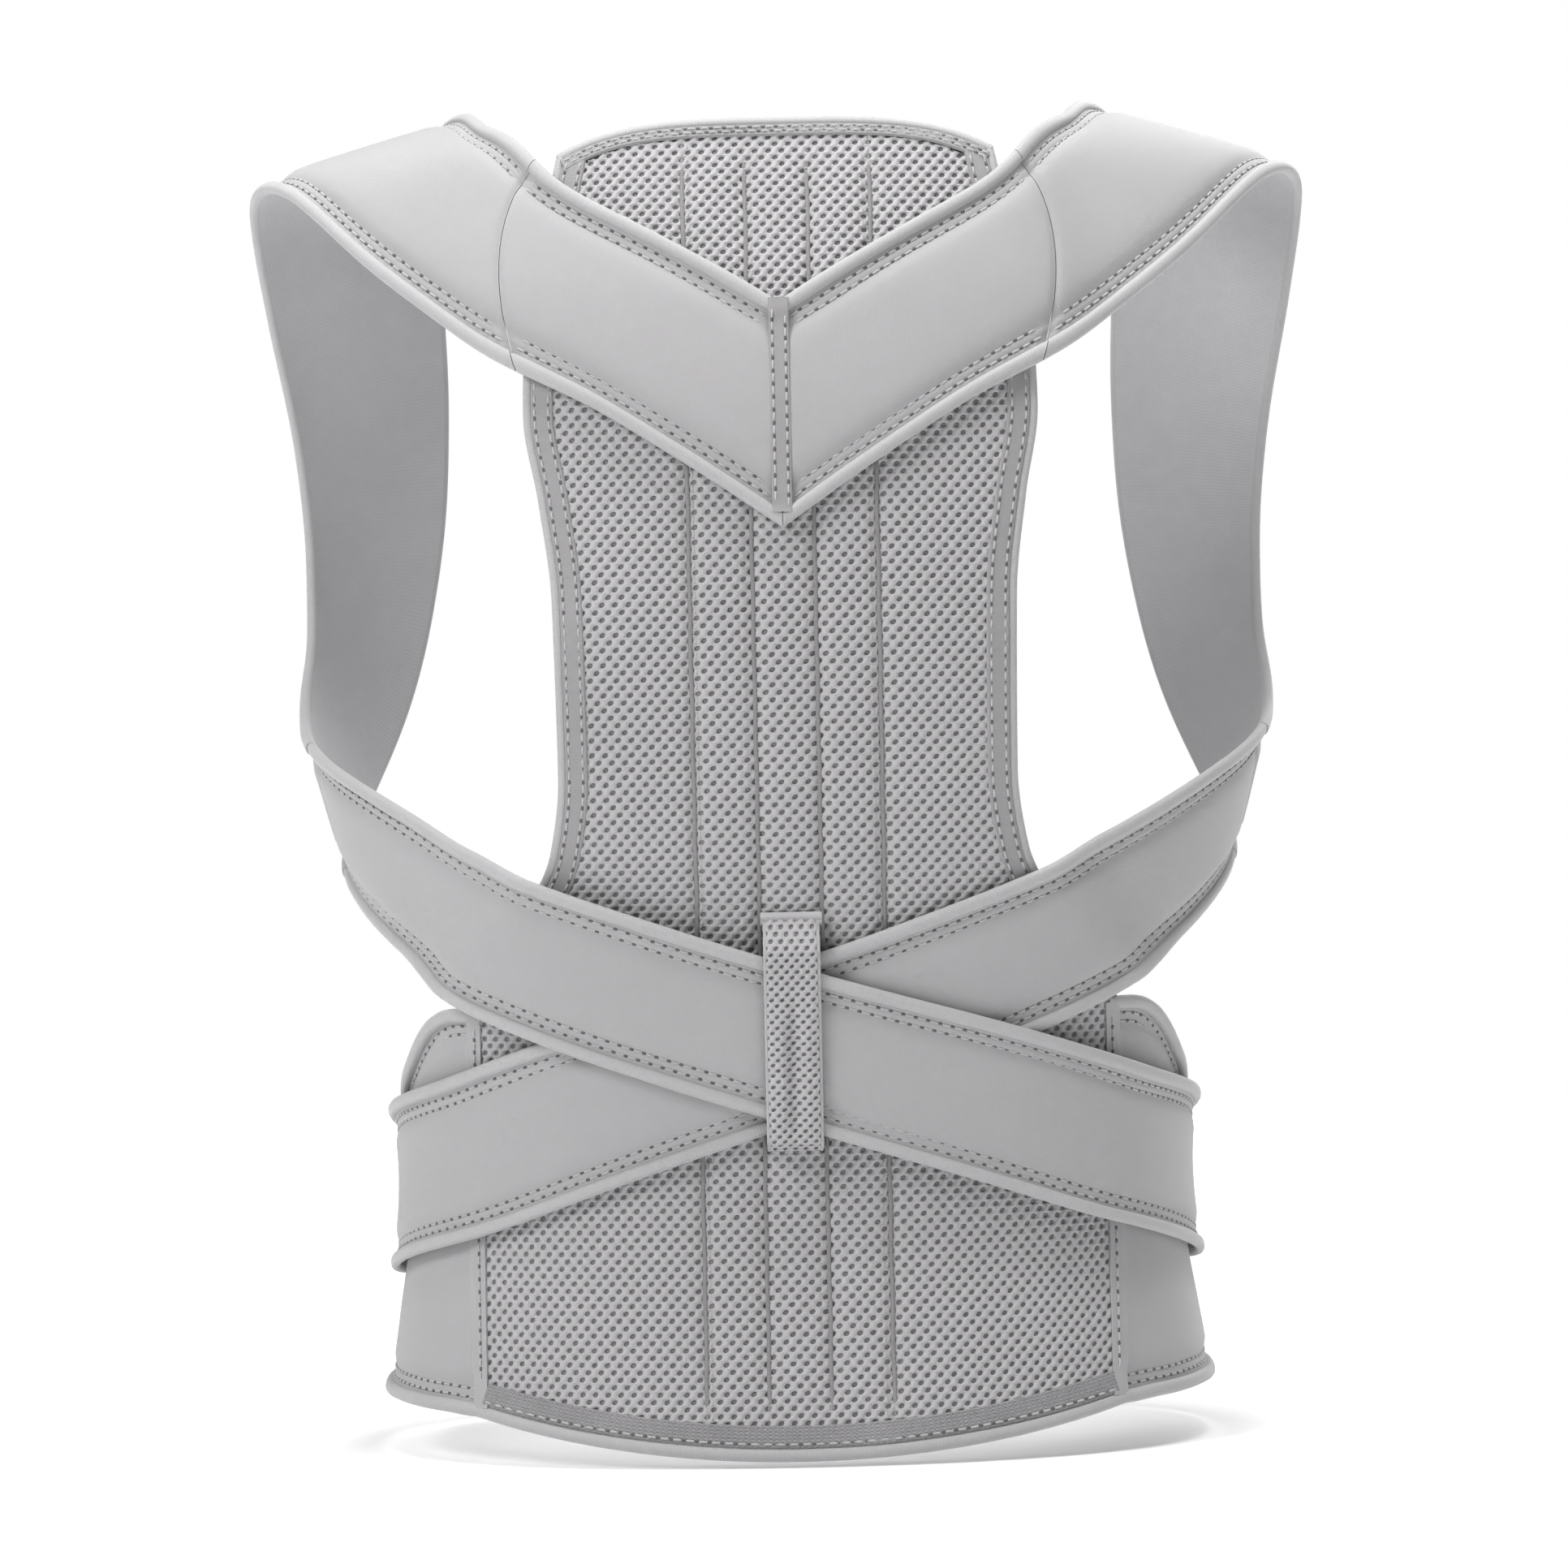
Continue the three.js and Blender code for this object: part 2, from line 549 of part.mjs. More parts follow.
// The tape that covers the seam between the yoke's two halves.
function tapeRows() {
  const seam = strapRows(0, TAPE_WIDTH, { over: false, thickness: SHOULDER_THICKNESS, inset: 0 })[0];
  const [top, foot] = [seam[0].under.z, seam.at(-1).under.z];
  const steps = 5;
  return Array.from({ length: steps + 1 }, (_, i) => {
    const z = lerp(top, foot, i / steps);
    const lift = ON_PANEL + SHOULDER_THICKNESS + SEAM_GAP;
    return [-1, 1].map((side) => cell(backAt((side * TAPE_WIDTH) / 2, z), lift, TAPE_THICKNESS));
  });
}

const FABRIC = { color: "#c3c3c7", roughness: 0.62, metalness: 0 };
const MESH_CLOTH = { color: "#cbc8ca", roughness: 0.8, metalness: 0 };
const EDGING = { color: "#cfcfd2", roughness: 0.55, metalness: 0 };
const HOOK_TAPE = { color: "#a9a9ad", roughness: 0.9, metalness: 0 };

function piece(name, geometry, finish) {
  const mesh = new THREE.Mesh(geometry, new THREE.MeshStandardMaterial(finish));
  mesh.name = name;
  return mesh;
}

// The same grid on the other side of the spine.
function mirrored(rows) {
  const flip = (v) => new THREE.Vector3(-v.x, v.y, v.z);
  return rows.map((row) => row.map(({ under, over, out }) => ({ under: flip(under), over: flip(over), out: flip(out) })));
}

const SIDES = [
  { side: "right", over: false, placed: (rows) => rows },
  { side: "left", over: true, placed: mirrored },
];

function backGroup() {
  const group = new THREE.Group();
  const rows = panelRows();
  const bound = rows.filter((_, i) => i / PANEL_ROWS < PANEL_OUTLINE.at(-2).down - 0.02);
  const around = aroundCorner(aroundCorner(firstColumn(bound).reverse(), firstRow(bound)), lastColumn(bound));
  group.add(piece("back_panel", slab(rows), MESH_CLOTH));
  group.add(piece("panel_binding", binding(around), EDGING));
  group.add(piece("panel_hem_binding", binding(lastRow(rows)), EDGING));
  group.add(piece("keeper_loop", slab(loopRows()), MESH_CLOTH));
  return group;
}

function yokeGroup() {
  const group = new THREE.Group();
  const web = { over: false, thickness: SHOULDER_THICKNESS };
  for (const { side, placed } of SIDES) {
    const rows = placed(strapRows(SEAM_GAP / 2, YOKE_LENGTH, web));
    const bound = placed(strapRows(TAPE_WIDTH / 2 + LAYER_GAP, YOKE_LENGTH, web));
    group.add(piece(`yoke_${side}`, slab(rows), FABRIC));
    group.add(piece(`yoke_upper_binding_${side}`, binding(firstColumn(bound)), EDGING));
    group.add(piece(`yoke_lower_binding_${side}`, binding(lastColumn(bound)), EDGING));
  }
  group.add(piece("yoke_seam_tape", slab(tapeRows()), FABRIC));
  return group;
}

function shoulderGroup() {
  const group = new THREE.Group();
  const web = { over: false, thickness: SHOULDER_THICKNESS };
  for (const { side, placed } of SIDES) {
    const rows = placed(strapRows(YOKE_LENGTH + SEAM_GAP, SHOULDER_END, web));
    group.add(piece(`shoulder_strap_${side}`, slab(rows), FABRIC));
    group.add(piece(`shoulder_inner_binding_${side}`, binding(firstColumn(rows)), EDGING));
    group.add(piece(`shoulder_outer_binding_${side}`, binding(lastColumn(rows)), EDGING));
  }
  return group;
}

function crossGroup() {
  const group = new THREE.Group();
  for (const { side, over, placed } of SIDES) {
    const rows = placed(strapRows(SHOULDER_END + SEAM_GAP, STRAP_LENGTH, { over, thickness: CROSS_THICKNESS }));
    group.add(piece(`cross_strap_${side}`, slab(rows), FABRIC));
    group.add(piece(`cross_lower_binding_${side}`, binding(firstColumn(rows)), EDGING));
    group.add(piece(`cross_upper_binding_${side}`, binding(lastColumn(rows)), EDGING));
    const patch = { over, thickness: PATCH_THICKNESS, inset: PATCH_MARGIN, sunk: PATCH_LAYER };
    const patchRows = placed(strapRows(STRAP_LENGTH - STRAP_PATCH_LENGTH, STRAP_LENGTH, patch));
    group.add(piece(`strap_hook_patch_${side}`, slab(patchRows), HOOK_TAPE));
  }
  return group;
}

function beltGroup() {
  const group = new THREE.Group();
  for (const { side, over, placed } of SIDES) {
    const rows = placed(wingRows(over));
    const upper = aroundCorner(firstColumn(rows), lastRow(rows));
    const around = aroundCorner(upper, lastColumn(rows).reverse());
    group.add(piece(`belt_wing_${side}`, slab(rows), FABRIC));
    group.add(piece(`belt_binding_${side}`, binding(around), EDGING));
  }
  group.add(piece("belt_hook_patch", slab(beltPatchRows()), HOOK_TAPE));
  return group;
}

const brace = new THREE.Group();
brace.add(backGroup(), yokeGroup(), shoulderGroup(), crossGroup(), beltGroup());

export default brace;
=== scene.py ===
"""Dresses the posture brace: its mesh panel, yoke, straps, belt and trim, in the form that it has in use.

Every piece lies on the trunk that the brace is shaped to. A place on it is found from a table of sections, and
each layer of cloth stands off it by its own lift. Lengths in this file are millimetres until a mesh is made.
"""

import logging
import math
from dataclasses import dataclass, field
from enum import Enum
from typing import Callable, Optional, Sequence

import bpy
import numpy as np
from mathutils import Matrix, Vector


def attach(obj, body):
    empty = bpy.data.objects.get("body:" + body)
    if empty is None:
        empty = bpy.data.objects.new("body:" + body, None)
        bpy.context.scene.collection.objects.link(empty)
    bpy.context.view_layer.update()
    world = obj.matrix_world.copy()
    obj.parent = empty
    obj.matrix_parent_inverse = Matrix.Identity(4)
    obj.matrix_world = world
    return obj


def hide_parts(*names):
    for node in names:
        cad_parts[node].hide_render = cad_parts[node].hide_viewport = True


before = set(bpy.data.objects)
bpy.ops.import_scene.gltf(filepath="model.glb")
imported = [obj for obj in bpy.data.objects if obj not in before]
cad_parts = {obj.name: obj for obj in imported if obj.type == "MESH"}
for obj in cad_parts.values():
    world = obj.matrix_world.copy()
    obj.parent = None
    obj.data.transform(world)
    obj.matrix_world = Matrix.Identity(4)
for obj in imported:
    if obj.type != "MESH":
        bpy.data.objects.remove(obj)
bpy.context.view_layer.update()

Grid = np.ndarray
Piece = bpy.types.Object
Socket = bpy.types.NodeSocket
Material = bpy.types.Material
NodeTree = bpy.types.NodeTree

LOG = logging.getLogger("brace")
MM = 0.001
ROOT = "root"

BINDING_WIDTH = 4.6
SEAM_GAP = 0.3
EDGE_ROOM = BINDING_WIDTH + SEAM_GAP
LAYER_GAP = 0.8
STITCH_PITCH = 4.3
ROW_START = 2.0
NEXT_ROW_START = 4.1
BAND_LOW = 2.6
BAND_HIGH = 3.9
BAND_ROW_HEIGHT = 3.8
FAR = 1e3


class Side(Enum):
    """One of the brace's two sides, as the sign of its x."""

    RIGHT = 1
    LEFT = -1

    @property
    def word(self) -> str:
        """The side's word in the names of its pieces."""
        return self.name.lower()

    @property
    def crosses_over(self) -> bool:
        """Whether this side's strap lies on the other one behind the waist."""
        return self is Side.LEFT


def ramp(value: Grid) -> Grid:
    """0 to 1 along a smooth step, for values from 0 to 1 and held beyond them."""
    t = np.clip(value, 0.0, 1.0)
    return t * t * (3.0 - 2.0 * t)


def bump(distance: Grid, width: float) -> Grid:
    """1 at no distance, fading to 0 over a few widths."""
    return np.exp(-((distance / width) ** 2))


def squared(wave: Grid, power: float) -> Grid:
    """A sine or cosine with fuller shoulders, its sign kept."""
    return np.sign(wave) * np.abs(wave) ** power


def round_section(sides: int) -> Grid:
    """The angles of the corners of a section."""
    return np.linspace(0.0, 2 * math.pi, sides, endpoint=False)


def flat_lengths(points: Grid, axis: int = 0) -> Grid:
    """Distances along one axis of a grid of points, from its first place.

    Args:
        points: the grid, with x, y and z last.
        axis: 0 down its columns, 1 along its rows.

    Returns:
        The distances, as a grid of the same shape.
    """
    steps = np.linalg.norm(np.diff(points, axis=axis), axis=-1)
    start = np.zeros_like(np.take(steps, [0], axis=axis))
    return np.concatenate([start, np.cumsum(steps, axis=axis)], axis=axis)


class Track:
    """A smooth curve through one column of a table."""

    def __init__(self, places: Sequence[float], values: Sequence[float], even: bool = False) -> None:
        """Finds the slopes at the rows.

        Args:
            places: where the rows are, rising.
            values: the column's values there.
            even: whether the curve may swing past the rows, as a bent strip does.
        """
        self.places = np.asarray(places, float)
        self.values = np.asarray(values, float)
        step = np.diff(self.places)
        rise = np.diff(self.values) / step
        slope = np.empty(len(self.values))
        slope[0], slope[-1] = rise[0], rise[-1]
        if even:
            slope[1:-1] = (self.values[2:] - self.values[:-2]) / (self.places[2:] - self.places[:-2])
        else:
            product = rise[:-1] * rise[1:]
            total = np.where(product > 0, rise[:-1] + rise[1:], 1.0)
            slope[1:-1] = np.where(product > 0, 2.0 * product / total, 0.0)
        self.slope = slope
        self.even = even

    def __call__(self, at: Grid) -> Grid:
        """The curve's values at some places.

        Args:
            at: the places.

        Returns:
            One value for each place.
        """
        at = np.asarray(at, float)
        if not self.even:
            at = np.clip(at, self.places[0], self.places[-1])
        i = np.clip(np.searchsorted(self.places, at, side="right") - 1, 0, len(self.places) - 2)
        step = self.places[i + 1] - self.places[i]
        u = (at - self.places[i]) / step
        u2, u3 = u * u, u * u * u
        ends = self.values[i] * (2 * u3 - 3 * u2 + 1) + self.values[i + 1] * (3 * u2 - 2 * u3)
        return ends + step * (self.slope[i] * (u3 - 2 * u2 + u) + self.slope[i + 1] * (u3 - u2))


@dataclass
class Trunk:
    """The form that the brace is shaped to, as sections from top to foot."""

    height: float = 440.0
    half_breadth: float = 160.0
    depth: float = 218.0
    sections: tuple = (
        (-0.159, 0.34, 0.13, 0.33, 2.0), (-0.091, 0.38, 0.185, 0.305, 2.0), (-0.05, 0.5, 0.235, 0.285, 2.0),
        (-0.027, 0.645, 0.262, 0.275, 2.0), (-0.014, 0.75, 0.278, 0.273, 2.0), (0.002, 0.9, 0.293, 0.275, 2.0),
        (0.018, 1.04, 0.307, 0.282, 2.0), (0.041, 1.145, 0.323, 0.3, 2.0), (0.08, 1.205, 0.352, 0.34, 2.05),
        (0.136, 1.225, 0.388, 0.413, 2.1), (0.227, 1.19, 0.415, 0.505, 2.2), (0.341, 1.11, 0.422, 0.57, 2.3),
        (0.482, 0.995, 0.397, 0.595, 2.4), (0.591, 0.915, 0.35, 0.578, 2.4), (0.705, 0.84, 0.304, 0.545, 2.4),
        (0.795, 0.808, 0.285, 0.528, 2.4), (0.909, 0.845, 0.31, 0.528, 2.4), (1.0, 0.895, 0.345, 0.53, 2.4),
        (1.1, 0.94, 0.385, 0.53, 2.4),
    )

    def __post_init__(self) -> None:
        """Makes the curves down the table."""
        table = np.array(self.sections)
        self.side = Track(table[:, 0], table[:, 1] * self.half_breadth)
        self.back = Track(table[:, 0], table[:, 2] * self.depth)
        self.front = Track(table[:, 0], table[:, 3] * self.depth)
        self.power = Track(table[:, 0], table[:, 4])

    def section(self, z: Grid) -> tuple[Grid, Grid, Grid, Grid]:
        """Half breadth, middle, reach front to back and rounding at some heights.

        Args:
            z: the heights.

        Returns:
            One array for each of the four.
        """
        down = -np.asarray(z, float) / self.height
        back, front = self.back(down), self.front(down)
        return self.side(down), (front - back) / 2, (front + back) / 2, self.power(down)

    def outside(self, p: Grid) -> Grid:
        """0 on the trunk, above 0 outside it, for points in the last axis.

        Args:
            p: the points.

        Returns:
            One value for each point.
        """
        side, middle, reach, power = self.section(p[..., 2])
        across = np.abs(p[..., 0] / side) ** power
        along = np.abs((p[..., 1] - middle) / reach) ** power
        return (across + along) ** (1.0 / power) - 1.0

    def slope(self, p: Grid) -> Grid:
        """How fast outside() rises along x, y and z.

        Args:
            p: points, with x, y and z last.

        Returns:
            The three slopes at each point.
        """
        reach = 0.02
        shifts = np.eye(3) * reach
        return np.stack([self.outside(p + s) - self.outside(p - s) for s in shifts], -1) / (2 * reach)

    def onto(self, points: Grid) -> tuple[Grid, Grid]:
        """Brings points onto the trunk.

        Args:
            points: points near the trunk, with x, y and z in the last axis.

        Returns:
            The places on the trunk, and the directions out of it there.
        """
        p = np.array(points, float)
        for _ in range(7):
            slope = self.slope(p)
            p -= slope * (self.outside(p) / (slope**2).sum(-1))[..., None]
        slope = self.slope(p)
        return p, slope / np.linalg.norm(slope, axis=-1, keepdims=True)

    def at_turn(self, turn: Grid, z: Grid) -> tuple[Grid, Grid]:
        """Places at angles round the trunk from the middle of its back, towards +x, and heights.

        Args:
            turn: the angles in radians.
            z: the heights.

        Returns:
            The places, and the directions out of the trunk there.
        """
        turn, z = np.broadcast_arrays(np.asarray(turn, float), np.asarray(z, float))
        side, middle, reach, power = self.section(z)
        across, behind = np.sin(turn), np.cos(turn)
        r = (np.abs(across) ** power + np.abs(behind) ** power) ** (-1.0 / power)
        return self.onto(np.stack([side * r * across, middle - reach * r * behind, z], -1))

    def turn_across(self, x: Grid, z: Grid) -> Grid:
        """The angle round the trunk at which its back is some distance across from the middle.

        Args:
            x: distances across, above 0 on the right.
            z: the heights.

        Returns:
            The angles in radians.
        """
        side, _, _, power = self.section(z)
        share = np.maximum(np.abs(x) / side, 1e-6)
        return np.sign(x) * np.arctan((share**-power - 1.0) ** (-1.0 / power))

    def at_back(self, x: Grid, z: Grid) -> tuple[Grid, Grid]:
        """Places on the back of the trunk, by distance across and height."""
        x, z = np.broadcast_arrays(np.asarray(x, float), np.asarray(z, float))
        return self.at_turn(self.turn_across(x, z), z)

    def turn_of(self, p: Grid) -> Grid:
        """The angle round the trunk of places on it, without its sign."""
        side, middle, reach, _ = self.section(p[..., 2])
        return np.arctan2(np.abs(p[..., 0]) / side, (middle - p[..., 1]) / reach)


TRUNK = Trunk()


@dataclass
class PanelPattern:
    """The cut of the back panel."""

    rise: float = 3.4
    waist_half: float = 75.0
    foot_half: float = 107.0
    thickness: float = 3.2
    top_fall: float = 11.0
    hem_rise: float = 14.0
    channels: int = 3
    channel_pitch: float = 20.5
    channel_rise: float = 1.2
    field_rise: float = 0.6
    groove_depth: float = 1.25
    groove_width: float = 2.1
    outline: tuple = (
        (0.0, 0.96, 0.0), (0.11, 1.1, 0.0), (0.2, 1.12, 0.0), (0.27, 1.06, 0.0), (0.35, 1.01, 0.0),
        (0.49, 1.0, 0.0), (0.55, 1.0, 0.1), (0.605, 1.0, 0.46), (0.66, 1.0, 1.0), (1.0, 1.0, 1.0),
    )

    def __post_init__(self) -> None:
        """Makes the curves of the outline."""
        table = np.array(self.outline)
        self.waist_track = Track(table[:, 0], table[:, 1] * self.waist_half)
        self.foot_track = Track(table[:, 0], table[:, 2])
        self.top = self.rise - EDGE_ROOM
        self.hem = EDGE_ROOM - TRUNK.height
        self.channels_half = self.channels * self.channel_pitch / 2

    def half(self, down: Grid, bound: bool = False) -> Grid:
        """Half the panel's width at shares of its height, with its binding if bound.

        Args:
            down: shares of the way down.
            bound: whether the binding counts.

        Returns:
            The half widths.
        """
        foot = self.foot_track(down)
        waist = self.waist_track(down) - (0.0 if bound else EDGE_ROOM)
        return waist + (self.foot_half - waist) * foot

    def height_at(self, share: Grid, down: Grid) -> Grid:
        """Height at a share of the half width and a share of the way down.

        Args:
            share: the share across, from -1 to 1.
            down: the share down, from 0 to 1.

        Returns:
            The heights.
        """
        top = self.top - self.top_fall * np.abs(share) ** 3.5
        hem = self.hem + self.hem_rise * share**2
        return top + (hem - top) * down

    def quilting(self, x: Grid, half: Grid) -> Grid:
        """How far the padding swells between the sewn lines, less the groove at each line.

        Args:
            x: distances across.
            half: half the panel's width there.

        Returns:
            How far the face stands up or down.
        """
        away = np.abs(x)
        channel = self.channel_rise * np.abs(np.cos(math.pi * x / self.channel_pitch)) ** 0.8
        out = np.clip((away - self.channels_half) / (half - self.channels_half), 0.0, 1.0)
        swell = np.where(away <= self.channels_half, channel, self.field_rise * np.sin(math.pi * out) ** 0.7)
        groove = sum(bump(x - line, self.groove_width) for line in self.seams)
        return swell - self.groove_depth * groove

    @property
    def seams(self) -> Grid:
        """Where the sewn lines run, across the panel."""
        return (np.arange(self.channels + 1) - self.channels / 2) * self.channel_pitch


PANEL = PanelPattern()


@dataclass
class BeltPattern:
    """The cut of the belt's two wings, as edges at angles round the trunk."""

    thickness: float = 3.0
    end_turn: float = 196.0
    edges: tuple = (
        (0, 0.657, 0.966), (50, 0.657, 0.966), (70, 0.703, 0.963), (90, 0.745, 0.961),
        (120, 0.762, 0.958), (150, 0.77, 0.955), (200, 0.773, 0.952),
    )

    def __post_init__(self) -> None:
        """Makes the curves of the edges, binding included."""
        table = np.array(self.edges)
        self.top = Track(table[:, 0], -table[:, 1] * TRUNK.height)
        self.hem = Track(table[:, 0], -table[:, 2] * TRUNK.height)

    def front_cover(self, turn: Grid) -> Grid:
        """1 where the belt's ends lie on each other in front, 0 where they have parted.

        Args:
            turn: angles round the trunk, in radians.

        Returns:
            One share for each.
        """
        room = math.radians(5)
        start = 2 * math.pi - math.radians(self.end_turn)
        return ramp((turn - start + 3 * room) / (2 * room))


BELT = BeltPattern()


@dataclass
class Layers:
    """How far each layer stands off the trunk."""

    shoulder: float = 3.0
    cross: float = 2.6
    patch: float = 1.2
    rise: float = 1.0
    drop: float = 26.0

    @property
    def on_panel(self) -> float:
        """The lift of what lies on the panel or the belt."""
        return max(PANEL.thickness, BELT.thickness) + PANEL.channel_rise + LAYER_GAP

    @property
    def on_cross(self) -> float:
        """The further lift of what lies on a cross strap."""
        return self.cross + self.rise + LAYER_GAP

    @property
    def patch_layer(self) -> float:
        """The further lift of what lies on a hook patch."""
        return self.patch + LAYER_GAP

    @property
    def on_belt_end(self) -> float:
        """The lift of the belt end that closes over the other."""
        return BELT.thickness + self.rise + self.patch_layer + LAYER_GAP

    def cover(self, p: Grid) -> Grid:
        """1 over the panel and belt, 0 on bare trunk, sloping between them.

        Args:
            p: places on the trunk.

        Returns:
            One share for each.
        """
        down = (PANEL.top - p[..., 2]) / (PANEL.top - PANEL.hem)
        in_panel = np.minimum(PANEL.half(down) - np.abs(p[..., 0]), PANEL.top - p[..., 2])
        in_belt = BELT.top(np.degrees(TRUNK.turn_of(p))) - EDGE_ROOM - p[..., 2]
        margin = EDGE_ROOM + LAYER_GAP
        return ramp((np.maximum(in_panel, in_belt) + margin + self.drop) / self.drop)


LAYERS = Layers()


@dataclass
class StrapRoute:
    """The middle line of the right strap, from the seam of the yoke to its end on the belt."""

    width: float = 60.0
    yoke_length: float = 99.0
    shoulder_share: float = 0.49
    seam_bow: float = 11.0
    patch_length: float = 46.0
    ease: float = 8.0
    eased_from: float = 30.0
    eased_until: float = 620.0
    spare_rows: int = 9
    stations: tuple = (
        (0, -0.41, 0.219, 1.03), (0.262, -0.405, 0.157, 1), (0.506, -0.365, 0.102, 1.02),
        (0.65, -0.29, 0.061, 1.08), (0.78, -0.18, 0.023, 1.14), (0.9, 0, 0, 1.19), (0.938, 0.15, 0.032, 1.17),
        (0.938, 0.257, 0.095, 1.1), (0.912, 0.349, 0.2, 1.02), (0.919, 0.394, 0.3, 0.96),
        (0.963, 0.358, 0.405, 0.9), (1.006, 0.193, 0.48, 0.87), (1, 0.01, 0.511, 0.86),
        (0.93, -0.17, 0.552, 0.88), (0.7, -0.303, 0.599, 0.88), (0.388, -0.349, 0.641, 0.88),
        (0, -0.321, 0.684, 0.88), (-0.375, -0.303, 0.73, 0.91), (-0.656, -0.211, 0.768, 0.94),
        (-0.831, -0.01, 0.793, 0.96), (-0.813, 0.23, 0.813, 0.96), (-0.594, 0.45, 0.82, 0.93),
        (-0.4, 0.495, 0.823, 0.9),
    )

    def __post_init__(self) -> None:
        """Lays the stations out along the strap."""
        table = np.array(self.stations, float)
        points = table[:, :3] * [TRUNK.half_breadth, TRUNK.depth, -TRUNK.height]
        along = flat_lengths(points)
        self.length = float(along[-1])
        self.shoulder_end = self.shoulder_share * self.length
        self.line = [Track(along, points[:, k], even=True) for k in range(3)]
        self.widths = Track(along, table[:, 3] * self.width, even=True)
        self.crossing = float(along[int(np.nonzero(table[:, 0] == 0)[0][-1])])
        spots = np.array([0.0, 1.0, self.crossing + 1, self.crossing - 1])
        start, ahead, below, above = self.middle(spots)[0]
        self.mitre = math.asin((ahead - start)[2] / np.linalg.norm(ahead - start))
        self.fall = float(above[2] - below[2])

    def middle(self, along: Grid) -> tuple[Grid, Grid]:
        """Places on the middle line, and the directions out of the trunk there."""
        return TRUNK.onto(np.stack([track(along) for track in self.line], -1))

    def lift(self, p: Grid, along: Grid, over: bool) -> Grid:
        """How far the strap stands off the trunk at places on it.

        Args:
            p: the places.
            along: their distances along the strap.
            over: whether this strap crosses over the other.

        Returns:
            The lifts.
        """
        lift = LAYERS.cover(p) * LAYERS.on_panel
        lift += LAYERS.patch_layer * ramp((self.patch_length + LAYERS.drop - (self.length - along)) / LAYERS.drop)
        if over:
            parted = self.width / (self.fall / 2) / 2 + BINDING_WIDTH
            near = ramp((parted + LAYERS.drop - np.abs(p[..., 0])) / LAYERS.drop)
            lift += np.where((p[..., 1] > 0) | (along < self.shoulder_end), 0.0, near) * LAYERS.on_cross
        return lift

    def places(self, along: Grid, across: Callable[[Grid], Grid], over: bool) -> "Cloth":
        """A stretch of the strap.

        Args:
            along: distances along the strap, one for each row.
            across: gives the columns' distances from the middle line, from the rows' widths.
            over: whether this strap crosses over the other.

        Returns:
            The places, as a cloth with one row for each distance along.
        """
        beyond = np.arange(1, self.spare_rows + 1) * self.ease / 3
        rows = np.concatenate([along[0] - beyond[::-1], along, along[-1] + beyond])
        cloth = self.laid(rows, across, over)
        gap = (along[:, None] - rows[None, :]) / self.ease
        eased = np.exp(-(gap**2) / 2) * np.gradient(rows)[None, :]
        eased /= eased.sum(1, keepdims=True)
        into, out_of = (along - self.eased_from) / self.eased_from, (self.eased_until - along) / 60
        share = (ramp(into) * ramp(out_of))[:, None]
        kept = slice(self.spare_rows, self.spare_rows + len(along))
        mix = eased * share + np.eye(len(rows))[kept] * (1 - share)
        at = np.einsum("ij,jkl->ikl", mix, cloth.at)
        out = np.einsum("ij,jkl->ikl", mix, cloth.out)
        out /= np.linalg.norm(out, axis=-1, keepdims=True)
        return Cloth(at, out, mix @ cloth.lift, cloth.along[kept], cloth.across[kept])

    def laid(self, along: Grid, across: Callable[[Grid], Grid], over: bool) -> "Cloth":
        """A stretch of the strap as it would lie if it followed every turn of the trunk.

        Args:
            along: distances along the strap, one for each row.
            across: gives the columns' distances from the middle line, from the rows' widths.
            over: whether this strap crosses over the other.

        Returns:
            The places, as a cloth.
        """
        at, out = self.middle(along)
        ahead = self.middle(along + 1.0)[0] - self.middle(along - 1.0)[0]
        ahead /= np.linalg.norm(ahead, axis=-1, keepdims=True)
        aside = np.cross(out, ahead)
        aside /= np.linalg.norm(aside, axis=-1, keepdims=True)
        slant = self.mitre * (1.0 - ramp((along - self.yoke_length) / self.yoke_length))
        row = aside * np.cos(slant)[:, None] + ahead * np.sin(slant)[:, None]
        widths = self.widths(along)[:, None]
        columns = across(widths)
        bow = self.seam_bow * ramp(1.0 - np.abs(along - self.yoke_length) / self.yoke_length)
        ahead_by = bow[:, None] * (1.0 - (2 * columns / widths) ** 2)
        points = at[:, None] + row[:, None] * (columns / np.cos(slant)[:, None])[..., None]
        points = points + ahead[:, None] * ahead_by[..., None]
        place, normal = TRUNK.onto(points)
        distance = np.broadcast_to(along[:, None], columns.shape)
        return Cloth(place, normal, self.lift(place, distance, over), distance, columns)


@dataclass
class Cloth:
    """Rows and columns of places on the trunk, with each one's lift and its place in the flat cloth."""

    at: Grid
    out: Grid
    lift: Grid
    along: Grid
    across: Grid

    @property
    def grids(self) -> tuple[Grid, ...]:
        """Every grid, in the order that a cloth is made from."""
        return self.at, self.out, self.lift, self.along, self.across

    def on(self, side: Side) -> "Cloth":
        """The cloth, made for the right, on the given side."""
        return Cloth(mirrored(self.at, side), mirrored(self.out, side), self.lift, self.along, self.across)

    def raised(self, height: Grid) -> Grid:
        """The places, raised off the trunk by their lift and a height."""
        return self.at + self.out * (self.lift + height)[..., None]

    def inside(self) -> "Cloth":
        """The same places seen from the inside, where out points inwards."""
        return Cloth(self.at, -self.out, -self.lift, self.along, self.across)

    def turned(self) -> "Cloth":
        """The same places with rows and columns changed over."""
        return Cloth(*(grid.swapaxes(0, 1) for grid in self.grids))

    def between(self, low: float, high: float) -> "Cloth":
        """The columns whose distances across lie, on the whole, between two limits.

        Args:
            low: the lower limit.
            high: the upper limit.

        Returns:
            The cloth that is left.
        """
        middle = np.median(self.across, axis=0)
        keep = (middle > low - 0.01) & (middle < high + 0.01)
        return Cloth(*(grid[:, keep] for grid in self.grids))


